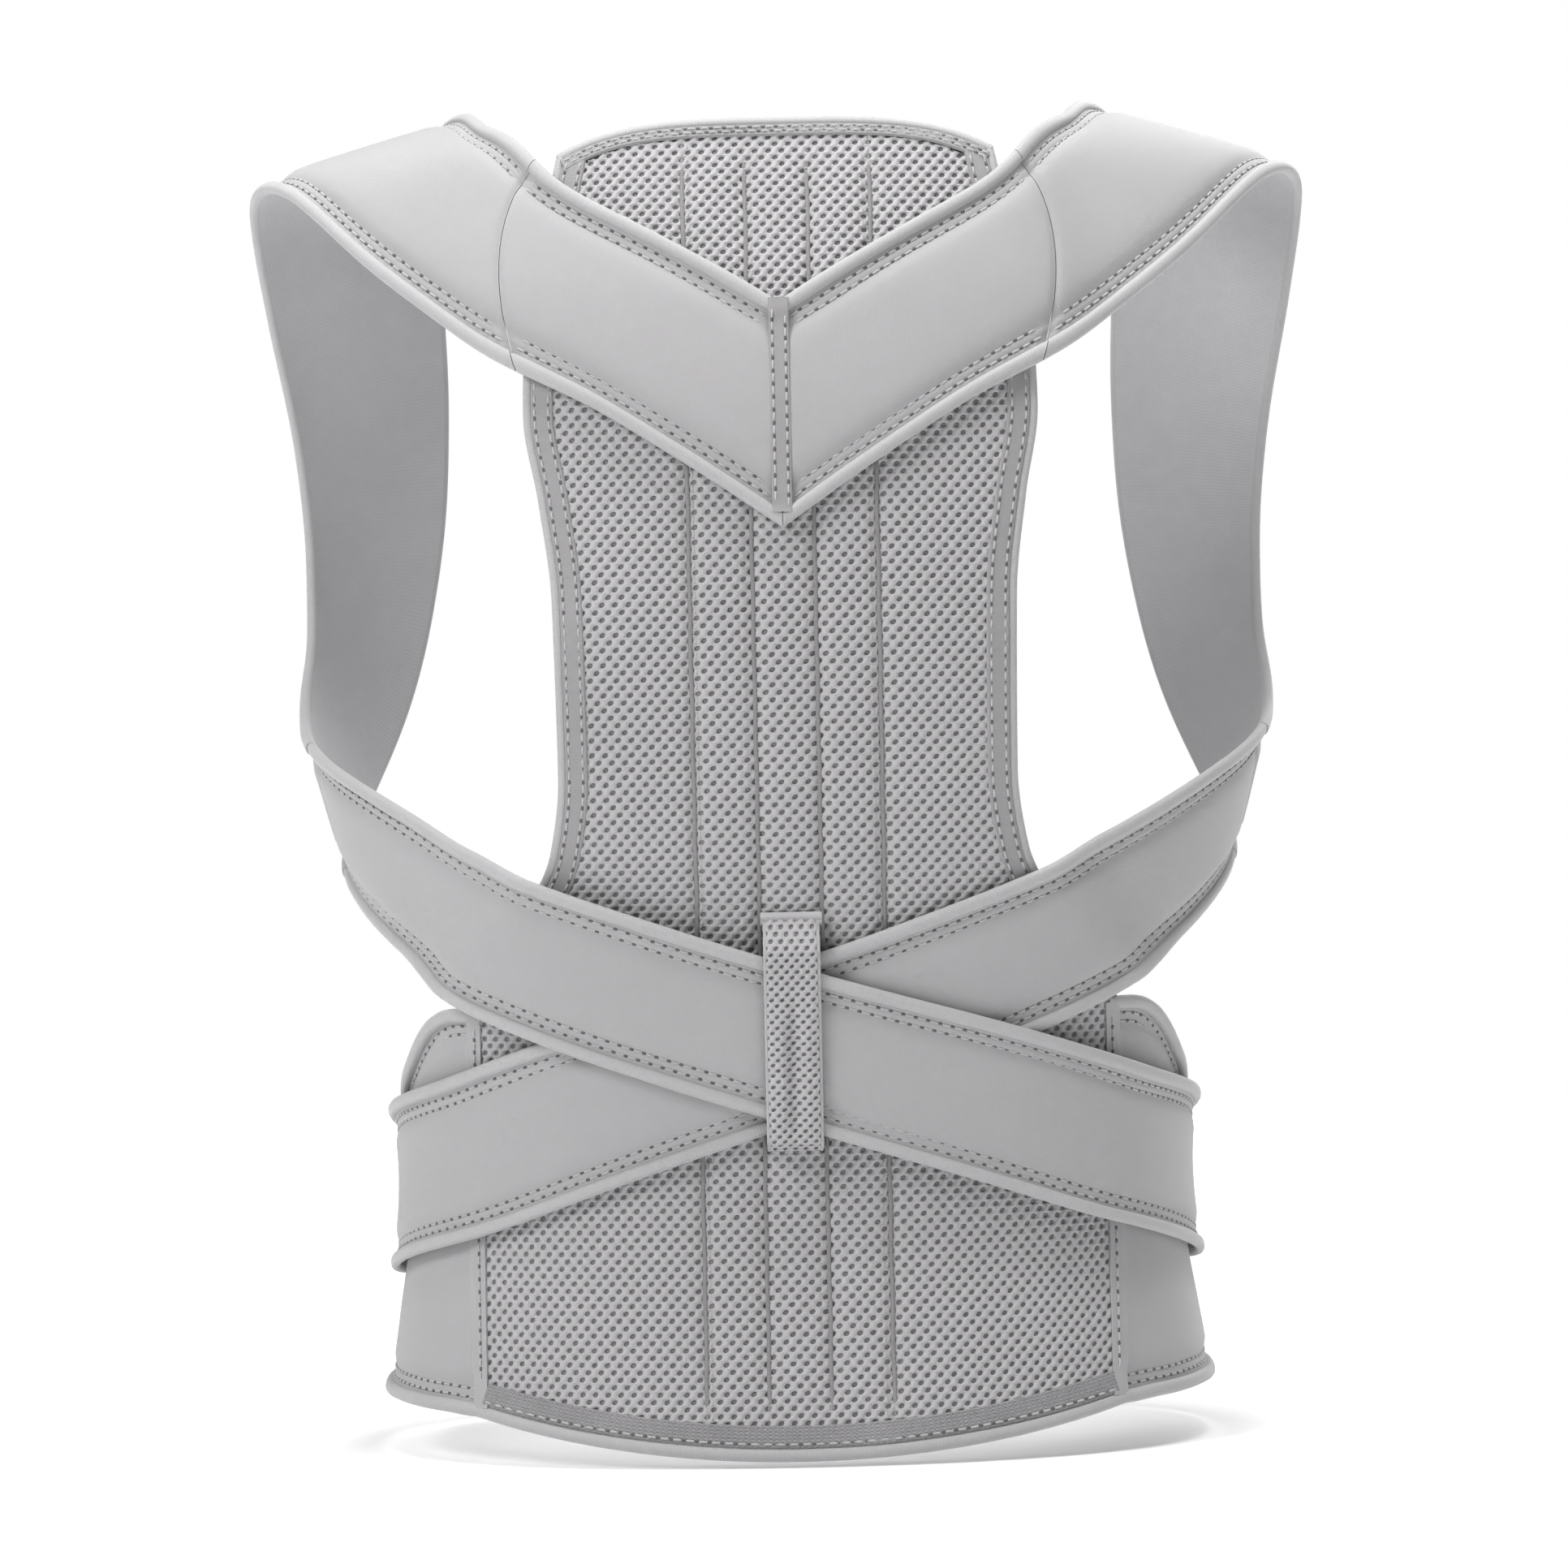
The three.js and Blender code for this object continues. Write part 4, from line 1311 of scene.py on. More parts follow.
@dataclass
class Stitches:
    """Rows of thread, laid by one node tree: each stitch is a short arch that dives into the cloth."""

    length: float = 3.1
    thread: float = 0.75
    arch: float = 0.6
    hole_length: float = 2.0
    hole_width: float = 1.3
    hole_height: float = 0.5

    def __post_init__(self) -> None:
        """Builds the trees."""
        self.tree = self.build()
        self.hole_tree = self.build_holes()

    @staticmethod
    def placed(tree: Tree, places: Socket, instance: Socket) -> Socket:
        """Sets an instance on each place, along its row and upright on the cloth, and makes it real.

        Args:
            tree: the tree.
            places: the places.
            instance: what stands on each.

        Returns:
            The real geometry.
        """
        ahead = tree.node("GeometryNodeInputNamedAttribute", {"data_type": "FLOAT_VECTOR"}, Name="ahead")
        out = tree.node("GeometryNodeInputNamedAttribute", {"data_type": "FLOAT_VECTOR"}, Name="out")
        upright = tree.node("FunctionNodeAlignRotationToVector", {"axis": "Z"}, Vector=out.outputs["Attribute"])
        turned = tree.node(
            "FunctionNodeAlignRotationToVector", {"axis": "X", "pivot_axis": "Z"},
            Rotation=upright.outputs[0], Vector=ahead.outputs["Attribute"],
        )
        made = tree.node("GeometryNodeInstanceOnPoints", Points=places, Instance=instance, Rotation=turned.outputs[0])
        return tree.node("GeometryNodeRealizeInstances", Geometry=made.outputs[0]).outputs[0]

    def build_holes(self) -> NodeTree:
        """The node tree of the dark discs between the stitches, painted shade for the pits that the needle leaves
        there.

        Returns:
            The tree.
        """
        tree, given = new_tree(
            "needle holes", "Geometry",
            {"Places": ("Geometry", None), "Length": ("Float", 0.0013),
             "Width": ("Float", 0.0009), "Height": ("Float", 0.0003),
             "Finish": ("Material", None)},
            {"Holes": "Geometry"},
        )
        ball = tree.node("GeometryNodeMeshUVSphere", Segments=6, Rings=3, Radius=0.5)
        size = tree.node("ShaderNodeCombineXYZ", X=given["Length"], Y=given["Width"], Z=given["Height"])
        flat = tree.node("GeometryNodeTransform", Geometry=ball.outputs["Mesh"], Scale=size.outputs[0])
        real = self.placed(tree, given["Places"], flat.outputs[0])
        dressed = tree.node("GeometryNodeSetMaterial", Geometry=real, Material=given["Finish"])
        tree.node("NodeGroupOutput", Holes=dressed.outputs[0])
        return tree.tree

    def build(self) -> NodeTree:
        """The node tree, with named inputs for the sizes.

        Returns:
            The tree.
        """
        tree, given = new_tree(
            "lay stitches", "Geometry",
            {"Places": ("Geometry", None), "Length": ("Float", 0.003),
             "Thread": ("Float", 0.0006), "Arch": ("Float", 0.0005),
             "Finish": ("Material", None)},
            {"Stitches": "Geometry"},
        )
        half = tree.times(given["Length"], 0.5)
        sunk = tree.times(given["Arch"], -0.6)
        back = tree.node("ShaderNodeCombineXYZ", X=tree.times(half, -1.0), Z=sunk).outputs[0]
        top = tree.node("ShaderNodeCombineXYZ", Z=tree.times(given["Arch"], 1.6)).outputs[0]
        front = tree.node("ShaderNodeCombineXYZ", X=half, Z=sunk).outputs[0]
        arch = tree.node("GeometryNodeCurveQuadraticBezier", Resolution=3, Start=back, Middle=top, End=front)
        thick = tree.times(given["Thread"], 0.5)
        ring = tree.node("GeometryNodeCurvePrimitiveCircle", {"mode": "RADIUS"}, Resolution=4, Radius=thick)
        solid = tree.node(
            "GeometryNodeCurveToMesh", Curve=arch.outputs[0], Profile_Curve=ring.outputs[0], Fill_Caps=True
        )
        real = self.placed(tree, given["Places"], solid.outputs[0])
        dressed = tree.node("GeometryNodeSetMaterial", Geometry=real, Material=given["Finish"])
        tree.node("NodeGroupOutput", Stitches=dressed.outputs[0])
        return tree.tree

    def places(self, name: str, rows: list["Row"]) -> Piece:
        """The points of some rows, with the directions that the trees turn their instances to.

        Args:
            name: the object's name.
            rows: the rows.

        Returns:
            The object.
        """
        mesh = bpy.data.meshes.new(name)
        mesh.from_pydata((np.concatenate([row.at for row in rows]) * MM).tolist(), [], [])
        for key in ("ahead", "out"):
            layer = mesh.attributes.new(key, "FLOAT_VECTOR", "POINT")
            layer.data.foreach_set("vector", np.concatenate([getattr(row, key) for row in rows]).ravel())
        return linked(name, mesh)

    def lay(self, name: str, rows: list["Row"], thread: Material, hole: Material) -> tuple:
        """Sews rows of stitches.

        Args:
            name: the start of the pieces' names.
            rows: the rows, each with its stitches and the holes between them.
            thread: the thread's material.
            hole: the material of the needle-hole discs, dark as painted shade.

        Returns:
            The piece of thread and the piece of needle-hole discs, dark as painted shade, both plain meshes.
        """
        sizes = {"Length": self.length * MM, "Thread": self.thread * MM, "Arch": self.arch * MM, "Finish": thread}
        sewn = solidified(self.places(name + "_places", rows), self.tree, sizes, name + "_stitches")
        sizes = {"Length": self.hole_length * MM, "Width": self.hole_width * MM, "Height": self.hole_height * MM}
        sizes["Finish"] = hole
        gaps = self.places(name + "_gaps", [row.holes for row in rows])
        return sewn, solidified(gaps, self.hole_tree, sizes, name + "_needle_holes")


def solidified(base: Piece, group: NodeTree, sizes: dict, name: str) -> Piece:
    """Runs a node tree on an object and keeps the result as a plain mesh.

    Args:
        base: the object that the tree starts from. It is removed.
        group: the tree.
        sizes: values of its named inputs.
        name: the new piece's name.

    Returns:
        The new piece. If the tree gave it no UV map, it gets one from its places.
    """
    modifier = base.modifiers.new("make", "NODES")
    modifier.node_group = group
    sockets = [item for item in group.interface.items_tree if item.item_type == "SOCKET"]
    named = {socket.name: socket.identifier for socket in sockets if socket.in_out == "INPUT"}
    for key, value in sizes.items():
        modifier[named[key]] = value
    base.update_tag()
    depsgraph = bpy.context.evaluated_depsgraph_get()
    depsgraph.update()
    mesh = bpy.data.meshes.new_from_object(base.evaluated_get(depsgraph), depsgraph=depsgraph)
    mesh.name = name
    base.modifiers.remove(modifier)
    bpy.data.objects.remove(base)
    for layer in [a.name for a in mesh.attributes if a.name in ("ahead", "out")]:
        mesh.attributes.remove(mesh.attributes[layer])
    if not mesh.uv_layers:
        unwrap(mesh, coordinates(mesh)[:, [0, 2]])
    mesh.shade_smooth()
    return linked(name, mesh)


@dataclass
class Row:
    """A row of stitches: their middles, and the directions along the row and out of the cloth."""

    at: Grid
    ahead: Grid
    out: Grid
    holes: Optional["Row"] = None

    def on(self, side: Side) -> "Row":
        """The row, made for the right, on the given side."""
        holes = self.holes.on(side) if self.holes else None
        return Row(mirrored(self.at, side), mirrored(self.ahead, side), mirrored(self.out, side), holes)

    def kept(self, test: Callable[[Grid], Grid]) -> "Row":
        """The stitches whose places pass a test."""
        keep = test(self.at)
        return Row(self.at[keep], self.ahead[keep], self.out[keep], self.holes.kept(test) if self.holes else None)


def stitch_row(cloth: Cloth, column: int, height: float, start: float = ROW_START) -> Row:
    """One row of stitches down a column of a cloth.

    Args:
        cloth: the cloth, with one row for each place along the seam.
        column: which of its columns the thread follows.
        height: how high the thread's ends lie above the cloth's lift.
        start: the distance from the row's start to its first stitch.

    Returns:
        The row, sewn at an even pitch, with the needle holes between its stitches.
    """
    line = cloth.at[:, column] + cloth.out[:, column] * (cloth.lift[:, column] + height)[:, None]
    along = flat_lengths(line)

    def spread(middles: Grid, values: Grid) -> Grid:
        """Vectors at some distances along the line, from those at its places."""
        return np.stack([np.interp(middles, along, values[:, k]) for k in range(3)], -1)

    def sewn(middles: Grid) -> Row:
        """The row at some distances along the line.

        Args:
            middles: the distances.

        Returns:
            The row, without holes.
        """
        at, later, before = (spread(middles + shift, line) for shift in (0.0, 1.5, -1.5))
        ahead, out = later - before, spread(middles, cloth.out[:, column])
        lengths = (np.linalg.norm(vectors, axis=-1, keepdims=True) for vectors in (ahead, out))
        return Row(at, ahead / next(lengths), out / next(lengths))

    middles = np.arange(start, along[-1] - 1.0, STITCH_PITCH)
    row = sewn(middles)
    row.holes = sewn(middles[:-1] + STITCH_PITCH / 2)
    return row


@dataclass
class PerforatedCloth:
    """Open mesh: one node tree sets rows of pierced cells, each shifted by half against the last."""

    pitch_across: float = 4.4
    pitch_down: float = 2.45
    hole_length: float = 2.15
    hole_width: float = 1.65
    hole_tilt: float = 36.0
    crossing: float = 0.27
    strand: float = 0.22
    rim: float = -0.26
    thickness: float = 0.7

    def __post_init__(self) -> None:
        """Builds the cell and the tree."""
        self.cell = self.build_cell()
        self.tree = self.build()

    def build_cell(self) -> Piece:
        """One cell: an oblong with a slanted hole, highest where two strands of yarn cross at its ends.

        Returns:
            The cell, which the trees read.
        """
        a, b = self.pitch_across / 2, self.pitch_down / 2
        low = 0.02
        corner = [
            (a, 0, self.crossing), (a, b, low), (0, b, low), (-a / 2, b, self.strand), (-a, b, low),
        ]
        outer = corner + [(-x, -y, z) for x, y, z in corner]
        tilt, inner = math.radians(self.hole_tilt), []
        for k in range(8):
            u = self.hole_length / 2 * math.cos(k * math.pi / 4 - tilt)
            v = self.hole_width / 2 * math.sin(k * math.pi / 4 - tilt)
            inner.append((u * math.cos(tilt) - v * math.sin(tilt), u * math.sin(tilt) + v * math.cos(tilt), self.rim))
        angles = [[math.atan2(y, x) % (2 * math.pi) for x, y, _ in ring] for ring in (outer, inner)]
        inner = [inner[k] for k in np.argsort(angles[1])]
        around = [angles[0] + [2 * math.pi], sorted(angles[1]) + [min(angles[1]) + 2 * math.pi]]
        faces, i, j = [], 0, 0
        count = len(outer)
        while i < count or j < 8:
            here, there = i % count, count + j % 8
            if j == 8 or (i < count and around[0][i + 1] <= around[1][j + 1]):
                faces.append((here, (i + 1) % count, there))
                i += 1
            else:
                faces.append((here, count + (j + 1) % 8, there))
                j += 1
        mesh = bpy.data.meshes.new("mesh_cell")
        mesh.from_pydata((np.array(outer + inner) * MM).tolist(), [], faces)
        return linked("mesh_cell", mesh)

    @staticmethod
    def without(tree: Tree, whole: Socket, domain: str, chosen: Socket) -> Socket:
        """The geometry without its chosen points or edges."""
        node = tree.node("GeometryNodeDeleteGeometry", {"domain": domain}, Geometry=whole, Selection=chosen)
        return node.outputs[0]

    def build(self) -> NodeTree:
        """The node tree, with named inputs for the cloth, its pitch and its thickness.

        Returns:
            The tree.
        """
        tree, given = new_tree(
            "pierced cells", "Geometry",
            {"Cloth": ("Geometry", None), "Cell": ("Object", None), "Columns": ("Int", 10), "Rows": ("Int", 10),
             "Pitch Across": ("Float", 0.0045), "Pitch Down": ("Float", 0.0024), "Cell Size": ("Float", 1.0),
             "Left": ("Float", 0.0), "Foot": ("Float", 0.0), "From": ("Float", -1.0), "To": ("Float", 1.0),
             "Thickness": ("Float", 0.0008), "Finish": ("Material", None)},
            {"Mesh": "Geometry"},
        )
        wide = tree.times(tree.math("SUBTRACT", given["Columns"], 1), given["Pitch Across"])
        tall = tree.times(tree.math("SUBTRACT", given["Rows"], 1), given["Pitch Down"])
        grid = tree.node(
            "GeometryNodeMeshGrid", Size_X=wide, Size_Y=tall, Vertices_X=given["Columns"], Vertices_Y=given["Rows"]
        )
        place = tree.node("GeometryNodeInputPosition").outputs[0]
        parts = tree.node("ShaderNodeSeparateXYZ", Vector=place).outputs
        from_foot = tree.plus(parts["Y"], tree.times(tall, 0.5))
        number = tree.math("ROUND", tree.math("DIVIDE", from_foot, given["Pitch Down"]))
        odd = tree.math("MODULO", number, 2.0)
        x = tree.plus(tree.plus(parts["X"], tree.times(wide, 0.5)), given["Left"])
        x = tree.plus(x, tree.times(tree.times(odd, 0.5), given["Pitch Across"]))
        spot = tree.node("ShaderNodeCombineXYZ", X=x, Y=tree.plus(from_foot, given["Foot"]))
        spread = tree.node("GeometryNodeSetPosition", Geometry=grid.outputs["Mesh"], Position=spot.outputs[0])
        centre = tree.node("ShaderNodeSeparateXYZ", Vector=place).outputs["X"]
        too_low, too_high = (
            tree.math(test, centre, given[end]) for test, end in (("LESS_THAN", "From"), ("GREATER_THAN", "To"))
        )
        outside = tree.plus(too_low, too_high)
        chosen = self.without(tree, spread.outputs[0], "POINT", outside)
        cell = tree.node("GeometryNodeObjectInfo", Object=given["Cell"]).outputs["Geometry"]
        laid = tree.node("GeometryNodeInstanceOnPoints", Points=chosen, Instance=cell, Scale=given["Cell Size"])
        real = tree.node("GeometryNodeRealizeInstances", Geometry=laid.outputs[0])
        joined = tree.node("GeometryNodeMergeByDistance", Geometry=real.outputs[0], Distance=0.00005)
        flat, out = (
            tree.node("GeometryNodeInputNamedAttribute", {"data_type": "FLOAT_VECTOR"}, Name=key).outputs["Attribute"]
            for key in ("flat", "out")
        )
        raw = tree.node("ShaderNodeSeparateXYZ", Vector=place).outputs
        where = tree.node("ShaderNodeCombineXYZ", X=raw["X"], Y=raw["Y"]).outputs[0]
        samples = []
        for value in (place, out):
            sample = tree.node("GeometryNodeSampleUVSurface", {"data_type": "FLOAT_VECTOR"}, Mesh=given["Cloth"])
            tree.join(value, sample.inputs["Value"])
            tree.join(flat, [s for s in sample.inputs if "UV Map" in s.name][0])
            tree.join(where, [s for s in sample.inputs if s.name == "Sample UV"][0])
            samples.append(sample)
        kept = tree.node("GeometryNodeCaptureAttribute", Geometry=joined.outputs[0])
        names = (("VECTOR", "On", samples[0].outputs["Value"]), ("VECTOR", "Out", samples[1].outputs["Value"]),
                 ("FLOAT", "Depth", raw["Z"]), ("VECTOR", "Flat", where),
                 ("BOOLEAN", "Valid", samples[0].outputs["Is Valid"]))
        for kind, name, value in names:
            kept.capture_items.new(kind, name)
            tree.join(value, kept.inputs[name])
        kept_out = kept.outputs
        named = tree.node(
            "GeometryNodeStoreNamedAttribute", {"data_type": "FLOAT2", "domain": "CORNER"},
            Geometry=kept_out["Geometry"], Name="flat", Value=kept_out["Flat"],
        )
        beyond = tree.node("FunctionNodeBooleanMath", {"operation": "NOT"}, Boolean=kept_out["Valid"])
        trimmed = self.without(tree, named.outputs[0], "POINT", beyond.outputs[0])
        for domain, kind in (("EDGE", "Edge"), ("POINT", "Vertex")):
            faces = tree.node(f"GeometryNodeInputMesh{kind}Neighbors").outputs["Face Count"]
            trimmed = self.without(tree, trimmed, domain, tree.math("LESS_THAN", faces, 0.5))
        on_cloth = tree.node("ShaderNodeVectorMath", {"operation": "ADD"})
        tree.join(kept_out["On"], on_cloth.inputs[0])
        tree.join(tree.scaled(kept_out["Out"], kept_out["Depth"]), on_cloth.inputs[1])
        low = tree.node("GeometryNodeSetPosition", Geometry=trimmed, Position=on_cloth.outputs[0])
        lift = tree.scaled(kept_out["Out"], given["Thickness"])
        top = tree.node(
            "GeometryNodeExtrudeMesh", {"mode": "FACES"}, Mesh=low.outputs[0], Offset=lift, Individual=False
        )
        foot = tree.node("GeometryNodeFlipFaces", Mesh=low.outputs[0])
        whole = tree.node("GeometryNodeJoinGeometry")
        tree.join(top.outputs["Mesh"], whole.inputs[0])
        tree.join(foot.outputs[0], whole.inputs[0])
        closed = tree.node("GeometryNodeMergeByDistance", Geometry=whole.outputs[0], Distance=0.00002)
        fixed = tree.node("GeometryNodeRealizeInstances", Geometry=closed.outputs[0])
        dressed = tree.node("GeometryNodeSetMaterial", Geometry=fixed.outputs[0], Material=given["Finish"])
        tree.node("NodeGroupOutput", Mesh=dressed.outputs[0])
        return tree.tree

    def weave(
        self, name: str, cloth: Cloth, height: Grid, finish: Material,
        cut: tuple[float, float] = (-FAR, FAR), size: float = 1.0,
    ) -> Piece:
        """Makes the open mesh over a cloth's places.

        Args:
            name: the piece's name.
            cloth: the places, whose across and along are distances in the flat cloth.
            height: how high the mesh's underside lies above the cloth's lift.
            finish: the yarn's material.
            cut: the distances across between which the cells' middles lie.
            size: how large its cells are.

        Returns:
            The piece, one closed sheet with a hole through each cell.
        """
        pitch_across, pitch_down = self.pitch_across * size, self.pitch_down * size
        flat = np.stack([cloth.across, -cloth.along], -1)
        surface = Surface(name + "_cloth")
        numbers = surface.add(cloth.raised(height), flat)
        surface.quads(numbers[:, ::-1])
        mesh = bpy.data.meshes.new(name + "_cloth")
        mesh.from_pydata((surface.points[0] * MM).tolist(), [], surface.faces)
        unwrap(mesh, surface.flat[0] * MM)
        out = mesh.attributes.new("out", "FLOAT_VECTOR", "POINT")
        out.data.foreach_set("vector", cloth.out.reshape(-1, 3).ravel())
        guide = linked(name + "_cloth", mesh)
        low, high = flat.reshape(-1, 2).min(0), flat.reshape(-1, 2).max(0)
        left = math.floor(low[0] / pitch_across) * pitch_across - pitch_across
        foot = math.floor(low[1] / pitch_down / 2) * pitch_down * 2
        sizes = {
            "Cell": self.cell, "Columns": int((high[0] - left) / pitch_across) + 2,
            "Rows": int((high[1] - foot) / pitch_down) + 2, "Pitch Across": pitch_across * MM,
            "Pitch Down": pitch_down * MM, "Cell Size": size, "Left": left * MM, "Foot": foot * MM,
            "Thickness": self.thickness * MM, "Finish": finish, "From": cut[0] * MM, "To": cut[1] * MM,
        }
        return solidified(guide, self.tree, sizes, name)

    def done(self) -> None:
        """Removes the cell, which no piece needs any more."""
        bpy.data.objects.remove(self.cell)


class Workshop:
    """What every sub-assembly needs: the finishes, the stitches and the mesh, and how a piece is handed over."""

    def __init__(self) -> None:
        """Gets the finishes and tools ready."""
        self.finishes = Finishes()
        self.stitches = Stitches()
        self.mesh = PerforatedCloth()

    def hand_over(
        self, piece: Piece, finish: str, slot: str, nodes: Sequence[str] = (), fill: Optional[float] = None
    ) -> Piece:
        """Dresses a piece, attaches it to the root and hides the CAD nodes that it stands for.

        Args:
            piece: the finished mesh.
            finish: the key of its finish.
            slot: not used.
            nodes: the CAD nodes that it stands for.
            fill: not used.

        Returns:
            The piece.
        """
        piece.data.materials.clear()
        piece.data.materials.append(self.finishes[finish])
        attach(piece, ROOT)
        if nodes:
            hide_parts(*nodes)
        LOG.info("%s: %d faces", piece.name, len(piece.data.polygons))
        return piece

    def sew(self, name: str, rows: list[Row]) -> None:
        """Sews rows of stitches and hands over their thread and their needle-hole discs, dark as painted shade.

        Args:
            name: the start of the pieces' names.
            rows: the rows.
        """
        thread, holes = self.stitches.lay(name, rows, self.finishes["thread"], self.finishes["hole"])
        self.hand_over(thread, "thread", "edge_binding")
        self.hand_over(holes, "hole", "edge_binding")


@dataclass
class StrapWeb:
    """The padded laminate of a strap between its rolled edges."""

    crown: float = 0.3
    lining: float = 0.6
    end_hem: float = 7.0
    spacing: float = 3.2
    near: tuple = (2.2, 3.6, 4.8, 5.5, 6.2, 6.9, 7.6, 8.4, 9.1, 9.8, 10.8, 12.0, 14.0)
    seam_rows: tuple = (2.0, 1.0, 0.4)
    hem_rows: tuple = (-1.8, -0.9, 0.0, 0.9, 1.8)
    end_dip: float = 0.45
    seam_dip: float = 0.9
    waves: float = 0.12

    def columns(self, widths: Grid) -> Grid:
        """Distances from the middle line of the web's columns, close together beside the edges.

        Args:
            widths: the strap's width at each row.

        Returns:
            One column for each distance.
        """
        near, half = np.array(self.near), widths / 2
        left = half - near[None, :]
        inner = half - near[-1]
        shares = np.linspace(1, -1, 9)[1:-1]
        return np.concatenate([left, inner * shares[None, :], -left[:, ::-1]], 1)

    def top(self, widths: Grid, columns: Grid, thickness: float) -> Grid:
        """Height of the web's outer face: flat beside the rolled edge, then padded and a little crowned."""
        crown = self.crown * (1 - (2 * columns / widths) ** 2)
        return SEWN.height(widths / 2 - np.abs(columns), thickness) + crown

    def build(
        self, name: str, side: Side, start: float, end: float, thickness: float, ends: tuple[bool, bool]
    ) -> tuple[Piece, Piece, FlatCut]:
        """Makes the web between two distances along the strap.

        Args:
            name: the start of the pieces' names.
            side: whose strap it is.
            start: where it starts.
            end: where it ends.
            thickness: its full thickness.
            ends: whether each end is drawn down into a seam.

        Returns:
            The padded cloth and its lining, each closed all round, and the lining's cut.
        """
        count = max(6, int((end - start) / self.spacing))
        hem, seams = self.end_hem + np.array(self.hem_rows), np.array(self.seam_rows)
        along = np.unique(np.concatenate([np.linspace(start, end, count + 1), start + seams, end - seams, end - hem]))
        over = side.crosses_over
        cloth = ROUTE.places(along, self.columns, over)
        widths = ROUTE.widths(along)[:, None]
        height = self.top(widths, cloth.across, thickness)
        for drawn, distance in zip(ends, (cloth.along - start, end - cloth.along)):
            seam, row = self.seam_dip * bump(distance, 1.6), self.end_dip * bump(distance - self.end_hem, 0.9)
            height = height - (seam if drawn else row)
        middle = ramp((widths / 2 - np.abs(cloth.across)) / 12)
        height = height + drape(cloth.along, cloth.across, self.waves, 1.0 if over else 2.0) * middle
        cloth = cloth.on(side)
        return (*lined(name, cloth, height, self.lining, (2, 2)), FlatCut.of(cloth))


